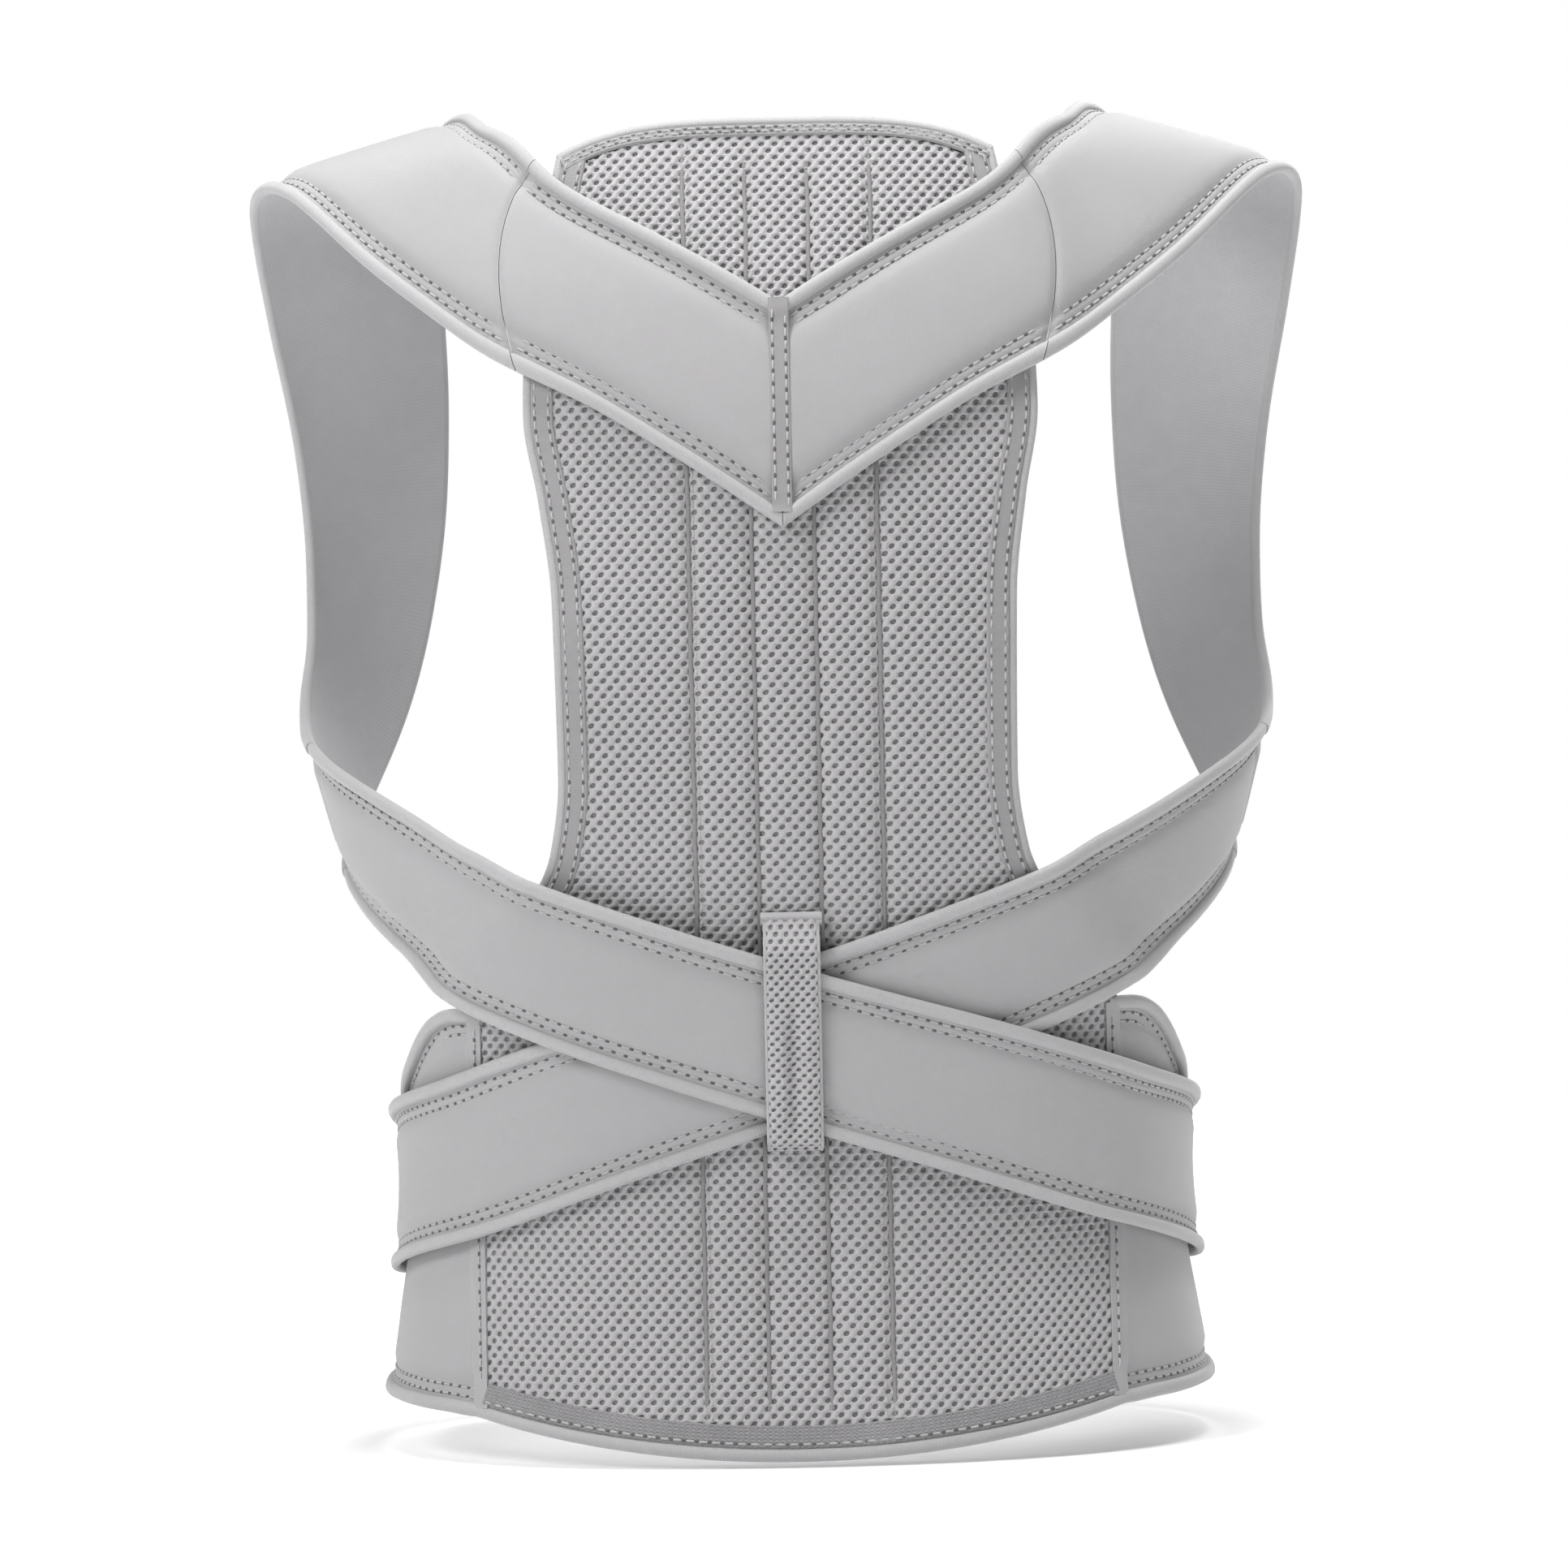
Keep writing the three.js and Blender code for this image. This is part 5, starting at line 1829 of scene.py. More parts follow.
@dataclass
class StrapMaker:
    """Makes both straps: yoke halves, shoulder straps and cross straps, with rolled edges and stitches."""

    shop: Workshop
    web: StrapWeb = field(default_factory=StrapWeb)
    end_inset: float = 1.9
    end_reach: float = 2.1
    end_half: float = 1.75
    end_length: float = 26.0

    def stretches(self) -> list[tuple[str, float, float, float, tuple[bool, bool], tuple[str, str]]]:
        """Each stretch of a strap: its name, ends, thickness, which ends are seams, and its edges' names.

        Returns:
            The three stretches.
        """
        return [
            ("yoke", 0.05, ROUTE.yoke_length, LAYERS.shoulder, (True, True),
             ("yoke_upper_binding", "yoke_lower_binding")),
            ("shoulder_strap", ROUTE.yoke_length + SEAM_GAP, ROUTE.shoulder_end, LAYERS.shoulder, (True, True),
             ("shoulder_inner_binding", "shoulder_outer_binding")),
            ("cross_strap", ROUTE.shoulder_end + SEAM_GAP, ROUTE.length, LAYERS.cross, (True, False),
             ("cross_lower_binding", "cross_upper_binding")),
        ]

    def roll(self, name: str, side: Side, start: float, end: float, thickness: float, edge: int) -> Piece:
        """A rolled edge along one side of a strap.

        Args:
            name: the piece's name.
            side: whose strap it is.
            start: where it starts.
            end: where it ends.
            thickness: the strap's thickness.
            edge: 1 for the strap's first column and -1 for its last.

        Returns:
            The piece.
        """
        count = max(6, int((end - start) / 2.2))
        along = np.linspace(start, end, count + 1)
        profile = roll_profile(thickness)
        cloth = ROUTE.places(along, lambda widths: edge * (widths / 2 - profile[None, :, 0]), side.crosses_over)
        return rolled_edge(name, cloth, profile, pucker(along, 0.02, 0.7 * edge + side.value), side)

    def end_roll(self, side: Side) -> Piece:
        """The rolled edge across a strap's end.

        Args:
            side: whose strap it is.

        Returns:
            The piece.
        """
        angle = round_section(10)
        along = ROUTE.length - self.end_inset + self.end_reach * np.cos(angle)
        order = np.argsort(along, kind="stable")
        shares = np.linspace(0.97, -0.97, 22)
        cloth = ROUTE.places(along[order], lambda widths: widths / 2 * shares[None, :], side.crosses_over)
        height = (self.end_half + self.end_half * np.sin(angle))[order]
        rings = np.empty((len(angle), len(shares), 3))
        rings[order] = cloth.raised(np.broadcast_to(height[:, None], cloth.lift.shape))
        turns = np.linspace(0, 12, len(angle))[:, None]
        flat = np.stack(np.broadcast_arrays(turns, self.end_length * shares[None, :]), -1)
        return tube(f"cross_strap_end_{side.word}_roll", mirrored(rings.swapaxes(0, 1), side), flat.swapaxes(0, 1))

    def end_row(self, side: Side) -> Row:
        """The row of stitches across a strap's end.

        Args:
            side: whose strap it is.

        Returns:
            The row.
        """
        shares = np.linspace(0.72, -0.72, 24)
        along = np.array([ROUTE.length - self.web.end_hem])
        cloth = ROUTE.places(along, lambda widths: widths / 2 * shares[None, :], side.crosses_over)
        return stitch_row(cloth.turned(), 0, LAYERS.cross + self.web.crown - 0.25).on(side)

    def sew(self, side: Side, start: float, end: float, thickness: float) -> list:
        """The four rows of stitches of a stretch.

        Args:
            side: whose strap it is.
            start: where the rows start.
            end: where they end.
            thickness: the strap's thickness.

        Returns:
            The rows.
        """
        along = np.arange(start, end, 2.0)
        insets = np.array(SEWN.rows)
        made = []
        for edge in (1, -1):
            cloth = ROUTE.places(along, lambda widths: edge * (widths / 2 - insets[None, :]), side.crosses_over)
            made += [row.on(side) for row in SEWN.sew(cloth, thickness)]
        return made

    def build(self) -> None:
        """Makes every stretch on both sides."""
        for side in Side:
            for name, start, end, thickness, seams, edges in self.stretches():
                piece, lining, cut = self.web.build(f"{name}_{side.word}", side, start, end, thickness, seams)
                self.shop.hand_over(piece, "laminate", "smooth_fabric", [f"{name}_{side.word}"], fill=0.5)
                self.shop.hand_over(lining, "lining", "smooth_fabric", [f"{name}_{side.word}"])
                cut.declare(lining, [piece.name])
                for edge_name, edge in zip(edges, (1, -1)):
                    rolled = self.roll(f"{edge_name}_{side.word}_roll", side, start, end, thickness, edge)
                    self.shop.hand_over(rolled, "edging", "edge_binding", [f"{edge_name}_{side.word}"])
                margin = 4.0 if name == "yoke" else 1.5
                rows = self.sew(side, start + margin, end - 1.5, thickness)
                if end == ROUTE.length:
                    rows.append(self.end_row(side))
                self.shop.sew(f"{name}_{side.word}", rows)
            self.shop.hand_over(self.end_roll(side), "edging", "edge_binding", [f"cross_strap_{side.word}"])


@dataclass
class PanelMaker:
    """Makes the back panel: lining, padding whose dark tone is painted shade for the holes, pierced face, edge trim
    and stitches.
    """

    shop: Workshop
    face_low: float = 2.35
    lining: float = 1.3
    down_step: float = 4.0
    piping_width: float = 3.4
    band_start: float = 2.9
    row_inset: float = 4.3
    inner_low: float = -0.75
    inner_high: float = 0.5
    inner_row_height: float = 0.82
    side_band: float = 7.6
    top_band: float = 4.6

    def cloth(self) -> tuple[Cloth, Grid]:
        """The panel's places, with distances in the flat cloth, and how far it is quilted at each.

        Returns:
            The cloth, and its quilting.
        """
        rows = np.linspace(0.0, 1.0, int((PANEL.top - PANEL.hem) / self.down_step) + 1)
        near = np.array([0.0, 0.7, 1.4, 2.2, 3.2, 4.6])
        beside = [PANEL.seams[:, None] + near * sign for sign in (1, -1)]
        even = np.linspace(-PANEL.channels_half, PANEL.channels_half, PANEL.channels * 4 + 1)
        lines = np.unique(np.round(np.concatenate([*(b.ravel() for b in beside), even]), 6))
        lines = lines[np.abs(lines) <= PANEL.channels_half + 1e-6] / PANEL.channels_half
        field = np.unique(np.concatenate([np.array([0.018, 0.037, 0.06, 0.09, 0.13]), np.linspace(0, 1, 19)[2:]]))
        columns = [(0.0, s) for s in -field[::-1]] + [(c, 0.0) for c in lines] + [(0.0, s) for s in field]
        inner = np.array([c for c, _ in columns])
        outer = np.array([s for _, s in columns])
        half = PANEL.half(rows)[:, None]
        edge = np.where(outer[None, :] == 0, 0.0, np.sign(outer)[None, :] * PANEL.channels_half)
        x = inner[None, :] * PANEL.channels_half + edge + outer[None, :] * (half - PANEL.channels_half)
        z = PANEL.height_at(x / half, rows[:, None])
        at, out = TRUNK.at_back(x, z)
        middle = len(columns) // 2
        across = flat_lengths(at, 1)
        across = across - across[:, middle : middle + 1]
        along = flat_lengths(at, 0)[:, middle : middle + 1]
        spread = np.broadcast_to(along, across.shape) + (at[:, middle : middle + 1, 2] - at[..., 2])
        cloth = Cloth(at, out, np.zeros(at.shape[:-1]), spread, across)
        ends = np.minimum(spread, spread[-1:] - spread)
        flattened = ramp((ends - 5.0) / 16.0)
        return cloth, PANEL.quilting(x, np.broadcast_to(half, x.shape)) * flattened

    def fields(self, cloth: Cloth, quilt: Grid, trim: list) -> None:
        """The pierced face, in three parts that meet beside the outer seams.

        Args:
            cloth: the panel's places.
            quilt: how far it is quilted at each.
            trim: the bands sewn on the face's edges.
        """
        half = PANEL.channels_half
        for word, cut in (("left_field", (-FAR, -half)), ("channels", (-half, half)), ("right_field", (half, FAR))):
            yarn = self.shop.finishes["yarn"]
            made = self.shop.mesh.weave(f"panel_mesh_{word}", cloth, self.face_low + quilt, yarn, cut)
            self.shop.hand_over(made, "yarn", "air_mesh", ["back_panel"])
            FlatCut.of(cloth.between(*cut)).declare(made, ["panel_core"], trim if word == "channels" else ())

    def channel_seam(self, number: int) -> Piece:
        """The dark line of one of the seams between the channels: a thin tube sunk in the groove, dark as painted
        shade of the crease.

        Args:
            number: which seam.

        Returns:
            The piece.
        """
        x = PANEL.seams[number]
        down = np.linspace(0.004, 0.985, 110)
        z = PANEL.height_at(x / PANEL.half(down), down)
        angle = round_section(8)
        wander = 0.12 * np.sin(down * 90.0 + number)
        xs, zs = np.broadcast_arrays(x + wander[:, None] + 0.75 * np.cos(angle)[None, :], z[:, None])
        at, out = TRUNK.at_back(xs, zs)
        sunk = self.face_low - PANEL.groove_depth + self.shop.mesh.thickness + 0.42
        rings = at + out * (sunk + 0.36 * np.sin(angle))[None, :, None]
        return tube(f"panel_channel_seam_{number + 1}", rings, np.stack([xs, zs], -1))

    def inner_row(self, number: int) -> Row:
        """The row of stitches that a seam between the channels shows on the inside.

        Args:
            number: which seam.

        Returns:
            The row.
        """
        x, down = PANEL.seams[number], np.linspace(0.03, 0.96, 90)[:, None]
        at, out = TRUNK.at_back(np.full_like(down, x), PANEL.height_at(x / PANEL.half(down), down))
        sunk = np.full_like(down, 0.45 * PANEL.groove_depth)
        return stitch_row(Cloth(at, out, sunk, down, down).inside(), 0, 0.1)

    def side_line(self, side: Side) -> EdgeLine:
        """The line up one side of the panel, binding included.

        Args:
            side: which side.

        Returns:
            The line, from foot to top.
        """
        down = np.linspace(0.655, 0.0, 120)
        half = PANEL.half(down, bound=True)
        x = side.value * half
        z = PANEL.height_at(np.full_like(down, 1.0), down) + EDGE_ROOM * ramp(1 - down / 0.05)
        at, _ = TRUNK.at_back(x, z)
        return EdgeLine(at, (0.0, at[60][1], at[60][2]))

    def top_line(self) -> EdgeLine:
        """The line across the top of the panel, binding included.

        Returns:
            The line, from left to right.
        """
        share = np.linspace(-1, 1, 90)
        x = share * PANEL.half(np.array(0.0), bound=True)
        z = PANEL.height_at(share, np.array(0.0)) + EDGE_ROOM
        at, _ = TRUNK.at_back(x, z)
        return EdgeLine(at, (0.0, -100.0, -200.0))

    def trim(self, name: str, line: EdgeLine, node: str, width: float) -> tuple[list[Row], Piece]:
        """A narrow piping on an edge, and the flat bands beside it on the face and on the inside.

        Args:
            name: the start of the pieces' names.
            line: the edge.
            node: the CAD node that they stand for.
            width: how wide the bands are.

        Returns:
            The rows of stitches on the bands, and the band on the face.
        """
        piping = roll_profile(PANEL.thickness - 0.6, width=self.piping_width, sides=12)
        gather = pucker(line.along, 0.015)
        rolled = rolled_edge(name + "_piping", line.places(piping[:, 0]), piping, gather, girth=9.0)
        self.shop.hand_over(rolled, "edging", "edge_binding", [node])
        section = band_profile(self.band_start, self.band_start + width, BAND_LOW, BAND_HIGH)
        band = flat_band(name + "_band", line, section, pucker(line.along, 0.16, 1.3), True)
        self.shop.hand_over(band, "trim", "edge_binding", [node])
        rows = line.places(np.array([self.row_inset, width + 1.3]))
        starts = ((0, ROW_START), (1, NEXT_ROW_START))
        sewn = [stitch_row(rows, column, BAND_ROW_HEIGHT, start) for column, start in starts]
        section = band_profile(1.9, 3.2 + width, self.inner_low, self.inner_high)
        inner = flat_band(name + "_inner_band", line, section, pucker(line.along, 0.12, 0.4), False)
        self.shop.hand_over(inner, "laminate", "edge_binding", [node])
        rows = rows.inside()
        return sewn + [stitch_row(rows, column, self.inner_row_height, start) for column, start in starts], band

    def build(self) -> None:
        """Makes the panel and its trim."""
        cloth, quilt = self.cloth()
        low = np.zeros_like(quilt)
        dent = np.minimum(quilt, 0.0)
        lining = slab("panel_lining", cloth, low - 0.45 * dent, low + self.lining + 0.35 * dent, (2, 1))
        self.shop.hand_over(lining, "inner", "air_mesh", ["back_panel"], fill=0.4)
        # The padding under the pierced face, dark as painted shade for its holes.
        core = slab("panel_core", cloth, low + self.lining + 0.35 * dent + 0.02, self.face_low + quilt - 0.06, (2, 1))
        self.shop.hand_over(core, "core", "air_mesh", ["back_panel"], fill=0.4)
        rows, bands = [], []
        for number in range(len(PANEL.seams)):
            # Each seam gets a dark tube, painted shade of its crease.
            self.shop.hand_over(self.channel_seam(number), "seam", "air_mesh", ["back_panel"])
            rows.append(self.inner_row(number))
        for side in Side:
            sewn, band = self.trim(f"panel_side_{side.word}", self.side_line(side), "panel_binding", self.side_band)
            rows, bands = rows + sewn, [*bands, band]
        sewn, band = self.trim("panel_top", self.top_line(), "panel_binding", self.top_band)
        self.shop.sew("panel", rows + sewn)
        self.fields(cloth, quilt, [*bands, band])


@dataclass
class BeltMaker:
    """Makes the belt: two wings, the rolled edge all round, the hem and the seams beside the panel."""

    shop: Workshop
    corner: float = 12.0
    lap: float = 4.5
    under_roll: float = 1.7
    lap_lift: float = 3.3
    lap_thickness: float = 0.7
    tape_half: float = 6.0
    end_reach: float = 110.0

    def lift(self, turn: Grid, side: Side) -> Grid:
        """How far a wing stands off the trunk at angles round it."""
        return BELT.front_cover(turn) * (LAYERS.on_belt_end if side.crosses_over else 0.0)

    def edge_height(self, edge: Track, start: float, share: Grid, turn: Grid) -> Grid:
        """Heights of one of the belt's edges at shares of the way from the panel to the wing's end.

        Args:
            edge: the edge's curve.
            start: where the wing starts across the panel.
            share: the shares.
            turn: a first guess of the angles.

        Returns:
            The heights.
        """
        end = math.radians(BELT.end_turn)
        for _ in range(4):
            height = edge(np.degrees(turn))
            turn = TRUNK.turn_across(np.full_like(height, start), height) * (1 - share) + end * share
        return edge(np.degrees(turn))

    def wing(self, side: Side) -> tuple[Piece, Piece, FlatCut]:
        """One wing of smooth laminate with its lining, lapped over the panel's side, and the lining's cut.

        Args:
            side: which wing.

        Returns:
            The cloth, the lining and the lining's cut.
        """
        end = math.radians(BELT.end_turn)
        share = np.unique(np.concatenate([np.linspace(0, 0.03, 8), np.linspace(0.03, 1.0, 120)]))
        stretches = (np.linspace(0, 0.12, 12), np.linspace(0.12, 0.88, 16), np.linspace(0.88, 1, 12))
        down = np.unique(np.concatenate(stretches))
        start = PANEL.foot_half - self.lap
        middle = (BELT.top(0) + BELT.hem(0)) / 2
        nominal = TRUNK.turn_across(np.array(start), middle) * (1 - share) + end * share
        top, hem = (self.edge_height(edge, start, share, nominal) for edge in (BELT.top, BELT.hem))
        top, hem = top - self.under_roll, hem + self.under_roll
        to_end = (end - nominal) * self.end_reach - 2.0
        into = np.maximum(self.corner - to_end, 0)
        cut = np.where(to_end < self.corner, self.corner - np.sqrt(np.maximum(self.corner**2 - into**2, 0.0)), 0.0)
        top, hem = top - cut, hem + cut
        z = top[:, None] + (hem - top)[:, None] * down[None, :]
        first = TRUNK.turn_across(np.full_like(z, start), z)
        turn = first * (1 - share[:, None]) + end * share[:, None]
        at, out = TRUNK.at_turn(turn, z)
        along = flat_lengths(at, 0)
        inset = np.minimum(top[:, None] - z, z - hem[:, None]) + self.under_roll
        lapped = ramp((PANEL.foot_half + 1.1 - np.abs(at[..., 0])) / 1.2) * (along < 15)
        lift = self.lift(turn, side) + lapped * self.lap_lift
        height = SEWN.height(inset, BELT.thickness)
        height = height + (self.lap_thickness - height) * lapped
        height = height + drape(along, z, 0.14, 0.4 + side.value) * ramp((inset - 4) / 10) * (1 - lapped)
        cloth = Cloth(at, out, lift, along, z).on(side)
        return (*lined(f"belt_wing_{side.word}", cloth, height, 0.5, (1, 2)), FlatCut.of(cloth))

    def edge(self) -> Grid:
        """The points round a wing's edge: along the top, round the end, and back along the hem to the middle.

        Returns:
            The points, made for the right.
        """
        end = math.radians(BELT.end_turn)
        z_top = float(BELT.top(0))
        start = float(TRUNK.turn_across(np.array(PANEL.foot_half - 3.0), np.array(z_top)))
        straight = end - self.corner / self.end_reach
        turns = np.linspace(start, straight, 150)
        upper, _ = TRUNK.at_turn(turns, BELT.top(np.degrees(turns)))
        angle = np.linspace(0, math.pi / 2, 9)[1:]
        bend, cut = end - self.corner / self.end_reach * (1 - np.sin(angle)), self.corner * (1 - np.cos(angle))
        top_corner, _ = TRUNK.at_turn(bend, BELT.top(np.degrees(bend)) - cut)
        foot_corner, _ = TRUNK.at_turn(bend[::-1], BELT.hem(np.degrees(bend[::-1])) + cut[::-1])
        back = np.linspace(straight, 0.0, 190)
        hem = BELT.hem(np.degrees(back))
        lower, _ = TRUNK.at_turn(back, hem)
        share = np.abs(lower[:, 0]) / PANEL.foot_half
        drop = PANEL.height_at(np.minimum(share, 1.0), np.array(1.0)) - EDGE_ROOM
        blend = ramp((1.12 - share) / 0.12) * (lower[:, 1] < 0)
        lower, _ = TRUNK.at_turn(back, hem * (1 - blend) + drop * blend)
        return np.concatenate([upper, top_corner, foot_corner, lower])

    def rim(self, side: Side) -> tuple[Piece, list]:
        """The rolled edge round a wing and along its half of the hem, with its two rows of stitches.

        Args:
            side: which wing.

        Returns:
            The rolled edge and the rows.
        """
        line = EdgeLine(self.edge(), (0.0, 0.0, -380.0), spacing=2.2)
        profile = roll_profile(BELT.thickness)

        def lift(at: Grid) -> Grid:
            """The rim's lift, with the wing's.

            Args:
                at: places on the trunk.

            Returns:
                The lifts.
            """
            turn = TRUNK.turn_of(at)
            past = np.where((at[..., 0] < 0) & (at[..., 1] > 0), 2 * math.pi - turn, turn)
            return self.lift(past, side)

        cloth = line.places(profile[:, 0], lift)
        rolled = rolled_edge(f"belt_binding_{side.word}_roll", cloth, profile, pucker(line.along, 0.02), side)
        rows = SEWN.sew(line.places(np.array(SEWN.rows), lift), BELT.thickness)
        room = PANEL.foot_half - self.lap
        rows = [row.kept(lambda at: (np.abs(at[:, 0]) > room + 4.0) | (at[:, 1] > 0)) for row in rows]
        return rolled, [row.on(side) for row in rows]

    def lap_row(self, side: Side) -> Row:
        """The row of stitches down the seam between the panel and a wing.

        Args:
            side: which wing.

        Returns:
            The row.
        """
        z = np.linspace(float(BELT.top(0)) - 6.0, float(BELT.hem(0)) + 9.0, 40)[:, None]
        at, out = TRUNK.at_back(np.full_like(z, PANEL.foot_half - self.lap + 1.9), z)
        cloth = Cloth(at, out, np.zeros_like(z), z, z)
        return stitch_row(cloth, 0, self.lap_lift + self.lap_thickness + 0.05).on(side)

    def inner_tape(self, side: Side) -> list[Row]:
        """The tape over the seam between the panel and a wing on the inside, with two rows of stitches.

        Args:
            side: which wing.

        Returns:
            The rows of stitches.
        """
        at_seam = np.degrees(TRUNK.turn_across(np.array(PANEL.foot_half), (BELT.top(0) + BELT.hem(0)) / 2))
        z = np.linspace(float(BELT.top(at_seam)) - 3.2, float(BELT.hem(at_seam)) + 3.2, 46)[:, None]
        angle = round_section(14)[None, :]
        wide = squared(np.cos(angle), 0.4) * self.tape_half
        x, zs = np.broadcast_arrays(PANEL.foot_half + 0.6 + wide, z)
        at, out = TRUNK.at_back(x, zs)
        rings = at + out * (-0.1 + 0.6 * np.sin(angle))[..., None]
        name = f"belt_seam_tape_{side.word}"
        tape = tube(name, mirrored(rings, side), np.stack([x, zs], -1))
        self.shop.hand_over(tape, "laminate", "smooth_fabric", [f"belt_wing_{side.word}"])
        columns = PANEL.foot_half + 0.6 + np.array([[-1.0, 1.0]]) * (self.tape_half - 1.4)
        xs, zs = np.broadcast_arrays(columns, z[2:-2])
        at, out = TRUNK.at_back(xs, zs)
        cloth = Cloth(at, out, np.full(xs.shape, -0.7), zs, xs).inside()
        return [stitch_row(cloth, column, 0.05, 2.0 + 2.1 * column).on(side) for column in (0, 1)]

    def hem_band(self) -> tuple[Piece, list[Row]]:
        """The folded band inside the hem's rolled edge, across the panel, with its row of stitches.

        Returns:
            The band and its row.
        """
        share = np.linspace(-1, 1, 90)
        x = share * (PANEL.foot_half - 1.5)
        at, _ = TRUNK.at_back(x, PANEL.height_at(x / PANEL.foot_half, np.array(1.0)) - EDGE_ROOM)
        line = EdgeLine(at, (0.0, -100.0, -300.0))
        section = band_profile(4.2, 11.8, BAND_LOW, BAND_HIGH)
        band = flat_band("panel_hem_band", line, section, pucker(line.along, 0.18, 0.6), True)
        return band, [stitch_row(line.places(np.array([5.6])), 0, 3.82)]

    def build(self) -> None:
        """Makes both wings and their trim."""
        rows = []
        for side in Side:
            wing, lining, cut = self.wing(side)
            self.shop.hand_over(wing, "laminate", "smooth_fabric", [f"belt_wing_{side.word}"], fill=0.5)
            self.shop.hand_over(lining, "lining", "smooth_fabric", [f"belt_wing_{side.word}"])
            cut.declare(lining, [wing.name])
            rolled, sewn = self.rim(side)
            self.shop.hand_over(rolled, "edging", "edge_binding", [f"belt_binding_{side.word}"])
            rows += [*sewn, self.lap_row(side), *self.inner_tape(side)]
        band, sewn = self.hem_band()
        # The hem band's darker tone is painted shade of the hem's hollow fold.
        self.shop.hand_over(band, "hem", "edge_binding", ["panel_hem_binding"])
        rows += sewn
        self.shop.sew("belt", rows)


@dataclass
class LoopMaker:
    """Makes the keeper loop of open mesh over the crossing, and the tape over the yoke's seam."""

    shop: Workshop
    width: float = 18.0
    thickness: float = 1.6
    overhang: float = 12.0
    tuck: float = 6.0
    tape_width: float = 6.5
    tape_row: float = 2.1
    tape_sink: float = 0.15
    tape_rise: float = 0.9
    fold_inset: float = 0.45
    hem_half: float = 2.2
    cell_size: float = 0.76

    def loop(self) -> None:
        """The loop: pierced face over a thin padding layer whose dark tone is painted shade for the holes, with a
        turned hem at its top.
        """
        slant = math.asin(ROUTE.fall / 2)
        half = float(ROUTE.widths(ROUTE.crossing)) / 2 / math.cos(slant) + math.tan(slant) * self.width / 2
        middle = float(ROUTE.middle(np.array([ROUTE.crossing]))[0][0, 2])
        top, foot = middle + half + self.overhang, middle - half - self.tuck
        z = np.linspace(top, foot, 70)[:, None]
        x = np.linspace(-self.width / 2, self.width / 2, 41)[None, :]
        raised = ramp((top - z) / (self.overhang - 1)) * ramp((z - foot) / (self.tuck - 1))
        low = PANEL.thickness + PANEL.channel_rise + SEAM_GAP
        lift = low + (LAYERS.on_panel + 2 * LAYERS.on_cross - low) * raised
        at, out = TRUNK.at_back(*np.broadcast_arrays(x, z))
        down = np.broadcast_to(top - z, at.shape[:-1])
        across = np.broadcast_to(x, at.shape[:-1])
        lift = np.broadcast_to(lift, at.shape[:-1])
        cloth = Cloth(at, out, lift, down, across)
        crease = ramp((down - 20) / 22) * ramp((top - foot - 3 - down) / 12)
        fold = -1.7 * crease * bump(across, 0.8 + 1.2 * crease) + 1.1 * crease * bump(np.abs(across) - 4.4, 2.6)
        edge = -0.6 * ramp((np.abs(across) - self.width / 2 + 2.2) / 2.2)
        top_of_core = np.maximum(1.15 + fold + edge, 0.15)
        # The loop's padding, dark as painted shade for its holes.
        core = slab("keeper_loop_core", cloth, np.zeros_like(fold), top_of_core - 0.03)
        self.shop.hand_over(core, "core", "air_mesh", ["keeper_loop"])
        mesh = self.shop.mesh
        face = mesh.weave("keeper_loop_mesh", cloth, top_of_core, self.shop.finishes["yarn"], size=self.cell_size)
        self.shop.hand_over(face, "yarn", "air_mesh", ["keeper_loop"])
        FlatCut.of(cloth).declare(face, ["keeper_loop_core"], self.loop_edges(cloth))

    def loop_edges(self, cloth: Cloth) -> list[Piece]:
        """The folded sides and the turned top hem of the loop.

        Args:
            cloth: the loop's places.

        Returns:
            The folds and the hem.
        """
        made = []
        for word, column in (("left", 0), ("right", -1)):
            sign = -1 if column == 0 else 1
            angle = round_section(8)
            ring_x = sign * (self.width / 2 - self.fold_inset) + 0.6 * np.cos(angle)
            x, z = np.broadcast_arrays(ring_x[None, :], cloth.at[:, :1, 2])
            at, out = TRUNK.at_back(x, z)
            height = 0.7 + 0.65 * np.sin(angle)[None, :]
            lift = np.broadcast_to(cloth.lift[:, :1], x.shape)
            rings = at + out * (lift + height)[..., None]
            flat = np.stack(np.broadcast_arrays(np.linspace(0, 5, 8)[None, :], cloth.along[:, :1]), -1)
            fold = tube(f"keeper_loop_fold_{word}", rings, flat)
            made.append(self.shop.hand_over(fold, "yarn", "air_mesh", ["keeper_loop"]))
        x = np.linspace(-self.width / 2 - 1.0, self.width / 2 + 1.0, 24)
        angle = round_section(18)
        z = cloth.at[0, 0, 2] - 1.5 + self.hem_half * np.cos(angle)
        xs, zs = np.broadcast_arrays(x[:, None], z[None, :])
        at, out = TRUNK.at_back(xs, zs)
        groove = 0.7 * bump(self.hem_half * np.cos(angle) + 0.3, 0.5) * (np.sin(angle) > 0)
        rings = at + out * (cloth.lift[0, 0] + 1.35 + 1.35 * np.sin(angle) - groove)[None, :, None]
        flat = np.stack([zs, xs], -1)
        return [*made, self.shop.hand_over(tube("keeper_loop_hem", rings, flat), "yarn", "air_mesh", ["keeper_loop"])]

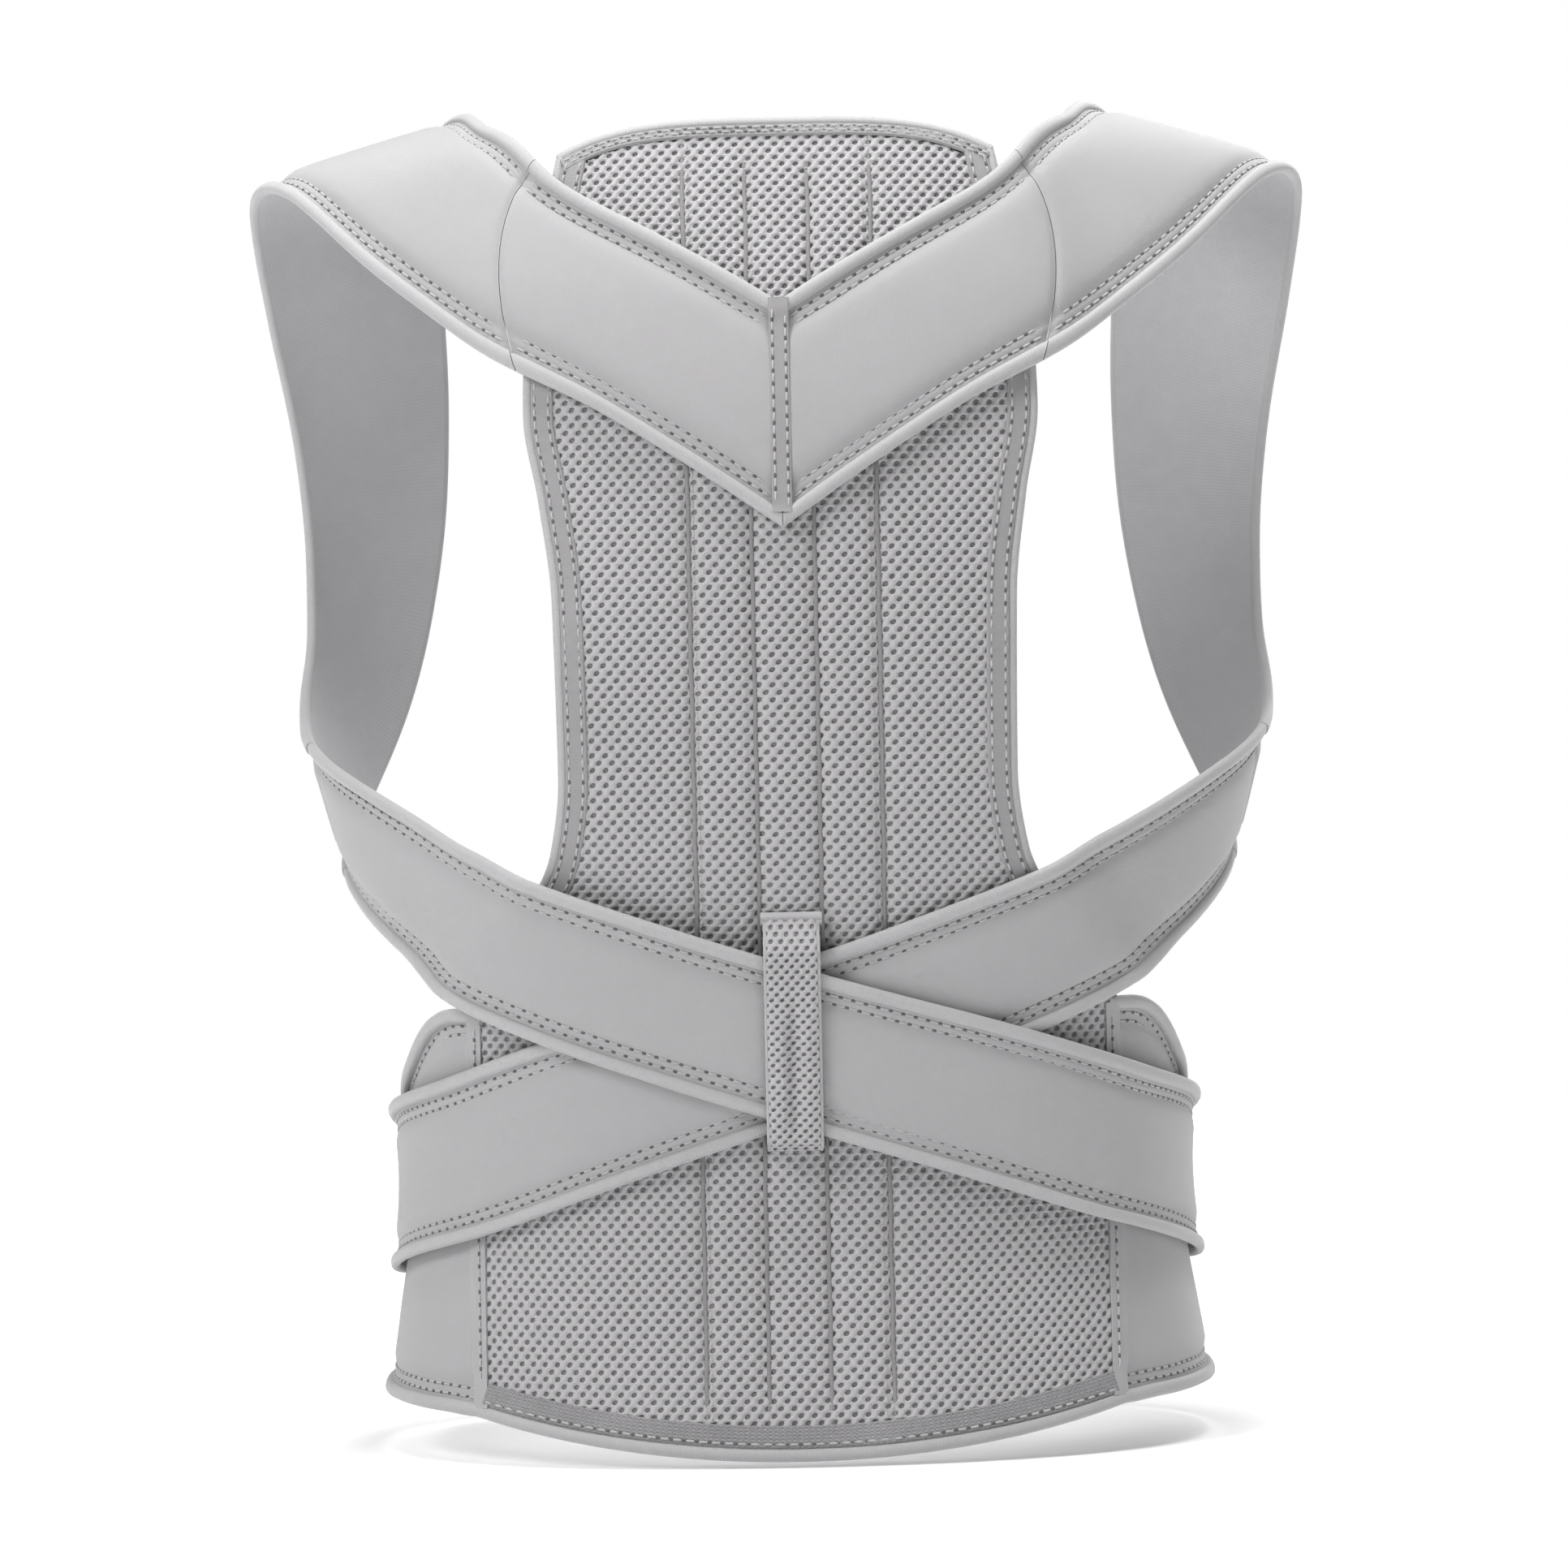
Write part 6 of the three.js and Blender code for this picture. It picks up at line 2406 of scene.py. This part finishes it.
    def tape(self) -> None:
        """The narrow tape over the yoke's seam, with a row of stitches down both sides."""
        seam = ROUTE.places(np.array([0.0]), lambda widths: widths / 2 * np.array([[1.0, -1.0]]), False)
        top, foot = float(seam.at[0, 0, 2]), float(seam.at[0, 1, 2])
        z = np.linspace(top + 0.6, foot + 5.0, 46)[:, None]
        angle = round_section(16)
        wide = squared(np.cos(angle), 0.35) * self.tape_width / 2
        tall = squared(np.sin(angle), 0.8)
        x, zs = np.broadcast_arrays(wide[None, :], z)
        at, out = TRUNK.at_back(x, zs)
        over_roll = ramp((z - (top - 6.5)) / 3.0) + 0.8 * ramp((foot + 7.5 - z) / 3.0)
        lift = LAYERS.on_panel + LAYERS.shoulder - self.tape_sink + self.tape_rise * over_roll
        height = 0.55 + 0.5 * tall[None, :] - 0.22 * bump(np.abs(x) - self.tape_row, 0.5) * (tall[None, :] > 0)
        rings = at + out * (lift + height)[..., None]
        flat = np.stack([x, zs], -1)
        self.shop.hand_over(tube("yoke_seam_tape_cloth", rings, flat), "trim", "smooth_fabric", ["yoke_seam_tape"])
        line_z = np.linspace(top - 2.5, foot + 6.5, 40)
        columns = np.array([[-self.tape_row, self.tape_row]])
        xs, zs = np.broadcast_arrays(columns, line_z[:, None])
        at, out = TRUNK.at_back(xs, zs)
        over_roll = ramp((zs - (top - 6.5)) / 3.0)
        lift = LAYERS.on_panel + LAYERS.shoulder - self.tape_sink + self.tape_rise * over_roll
        cloth = Cloth(at, out, lift, zs, xs)
        rows = [stitch_row(cloth, 0, 0.85), stitch_row(cloth, 1, 0.85, NEXT_ROW_START)]
        self.shop.sew("yoke_seam", rows)

    def build(self) -> None:
        """Makes both."""
        self.loop()
        self.tape()


def dress_patches(shop: Workshop) -> None:
    """Gives the hook patches, which keep their CAD shape, the finish of hook tape.

    Args:
        shop: the workshop.
    """
    for name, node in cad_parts.items():
        if "hook_patch" in name:
            node.data.materials.clear()
            node.data.materials.append(shop.finishes["hooks"])


@dataclass
class Studio:
    """The pale floor and backdrop, the soft light and the camera at the photo's place."""

    distance: float = 1.992
    height: float = -0.213
    aside: float = -0.0013
    focal: float = 7170.0
    frame_width: int = 1932
    roll: float = -1.2
    floor: float = -0.4415
    ambient: float = 0.32
    glow_from: float = 0.8
    glow_to: float = 2.0

    def camera(self) -> None:
        """The camera behind the brace, level, turned a little about its own axis."""
        data = bpy.data.cameras.new("camera")
        data.sensor_width = 36.0
        data.lens = self.focal * 36.0 / self.frame_width
        data.clip_end = 50.0
        made = linked("camera", data)
        facing = Matrix.Rotation(math.radians(90), 4, "X")
        turned = Matrix.Rotation(math.radians(self.roll), 4, "Z")
        made.matrix_world = Matrix.Translation((self.aside, -self.distance, self.height)) @ facing @ turned
        bpy.context.scene.camera = made

    def light(self, name: str, place: tuple, aim: tuple, size: float, power: float, tone: tuple = (1, 1, 1)) -> None:
        """One soft square light that faces a point.

        Args:
            name: the light's name.
            place: where it hangs.
            aim: the point that it faces.
            size: its side.
            power: its power.
            tone: its colour.
        """
        data = bpy.data.lights.new(name, "AREA")
        data.size, data.energy, data.color = size, power, tone
        made = linked(name, data)
        facing = (Vector(aim) - Vector(place)).to_track_quat("-Z", "Y").to_matrix().to_4x4()
        made.matrix_world = Matrix.Translation(place) @ facing

    def ground(self) -> None:
        """A round pale floor, with a rim that bends down out of sight."""
        surface = Surface("studio_floor")
        angle = round_section(64)[None, :]
        radius = np.array([0.02, 0.5, 1.2, 2.0, 2.6])[:, None]
        drop = np.array([0.0, 0.0, 0.0, 0.0, 0.05])[:, None]
        height = np.broadcast_to(self.floor - drop, (5, 64))
        grid = np.stack([radius * np.cos(angle), radius * np.sin(angle), height], -1) / MM
        numbers = surface.add(grid, np.zeros(2))
        surface.quads(numbers, around=True)
        surface.cap(numbers[0])
        made = surface.make()
        if made.data.polygons[0].normal.z < 0:
            made.data.flip_normals()
        material = bpy.data.materials.new("studio paper")
        material.use_nodes = True
        tree = Tree(material.node_tree)
        paper = (0.86, 0.86, 0.865, 1)
        shader = tree.node("ShaderNodeBsdfPrincipled", Base_Color=paper, Roughness=0.9, Emission_Strength=1.0)
        place = tree.node("ShaderNodeTexCoord").outputs["Object"]
        far = tree.node("ShaderNodeVectorMath", {"operation": "LENGTH"})
        tree.join(place, far.inputs[0])
        glow = tree.node("ShaderNodeMapRange", {"interpolation_type": "SMOOTHSTEP"}, Value=far.outputs["Value"])
        glow.inputs["From Min"].default_value = self.glow_from
        glow.inputs["From Max"].default_value = self.glow_to
        tree.join(glow.outputs["Result"], shader.inputs["Emission Color"])
        tree.node("ShaderNodeOutputMaterial", Surface=shader.outputs[0])
        made.data.materials.append(material)

    def surroundings(self) -> bpy.types.World:
        """A soft grey light from all round, that the camera sees as white paper.

        Returns:
            The world.
        """
        world = bpy.data.worlds.new("studio")
        world.use_nodes = True
        tree = Tree(world.node_tree)
        seen = tree.node("ShaderNodeLightPath").outputs["Is Camera Ray"]
        soft = tree.node("ShaderNodeBackground", Color=(1, 1, 1, 1), Strength=self.ambient)
        white = tree.node("ShaderNodeBackground", Color=(1, 1, 1, 1), Strength=1.0)
        mixed = tree.node("ShaderNodeMixShader")
        for source, socket in zip((seen, soft.outputs[0], white.outputs[0]), mixed.inputs):
            tree.join(source, socket)
        tree.node("ShaderNodeOutputWorld", Surface=mixed.outputs[0])
        return world

    def build(self) -> None:
        """Sets the stage."""
        scene = bpy.context.scene
        scene.view_settings.view_transform = "Standard"
        scene.world = self.surroundings()
        self.ground()
        self.light("key", (-1.3, -1.2, 1.0), (0, 0, -0.2), 0.8, 27.0)
        self.light("fill", (1.3, -1.6, 0.2), (0, 0, -0.25), 1.4, 0.8)
        self.light("front", (0.9, 1.6, 0.7), (0, 0, -0.2), 1.2, 16.0)
        self.light("top", (0.1, -0.2, 1.3), (0, 0, -0.1), 0.8, 22.0)
        self.light("floor", (0.0, 0.3, 3.2), (0, 0.3, -0.4), 3.5, 75.0)
        self.camera()


def main() -> None:
    """Builds the studio and every sub-assembly, in order."""
    logging.basicConfig(level=logging.INFO, format="%(name)s %(message)s")
    Studio().build()
    shop = Workshop()
    PanelMaker(shop).build()
    StrapMaker(shop).build()
    BeltMaker(shop).build()
    LoopMaker(shop).build()
    dress_patches(shop)
    shop.mesh.done()


if __name__ == "__main__":
    main()
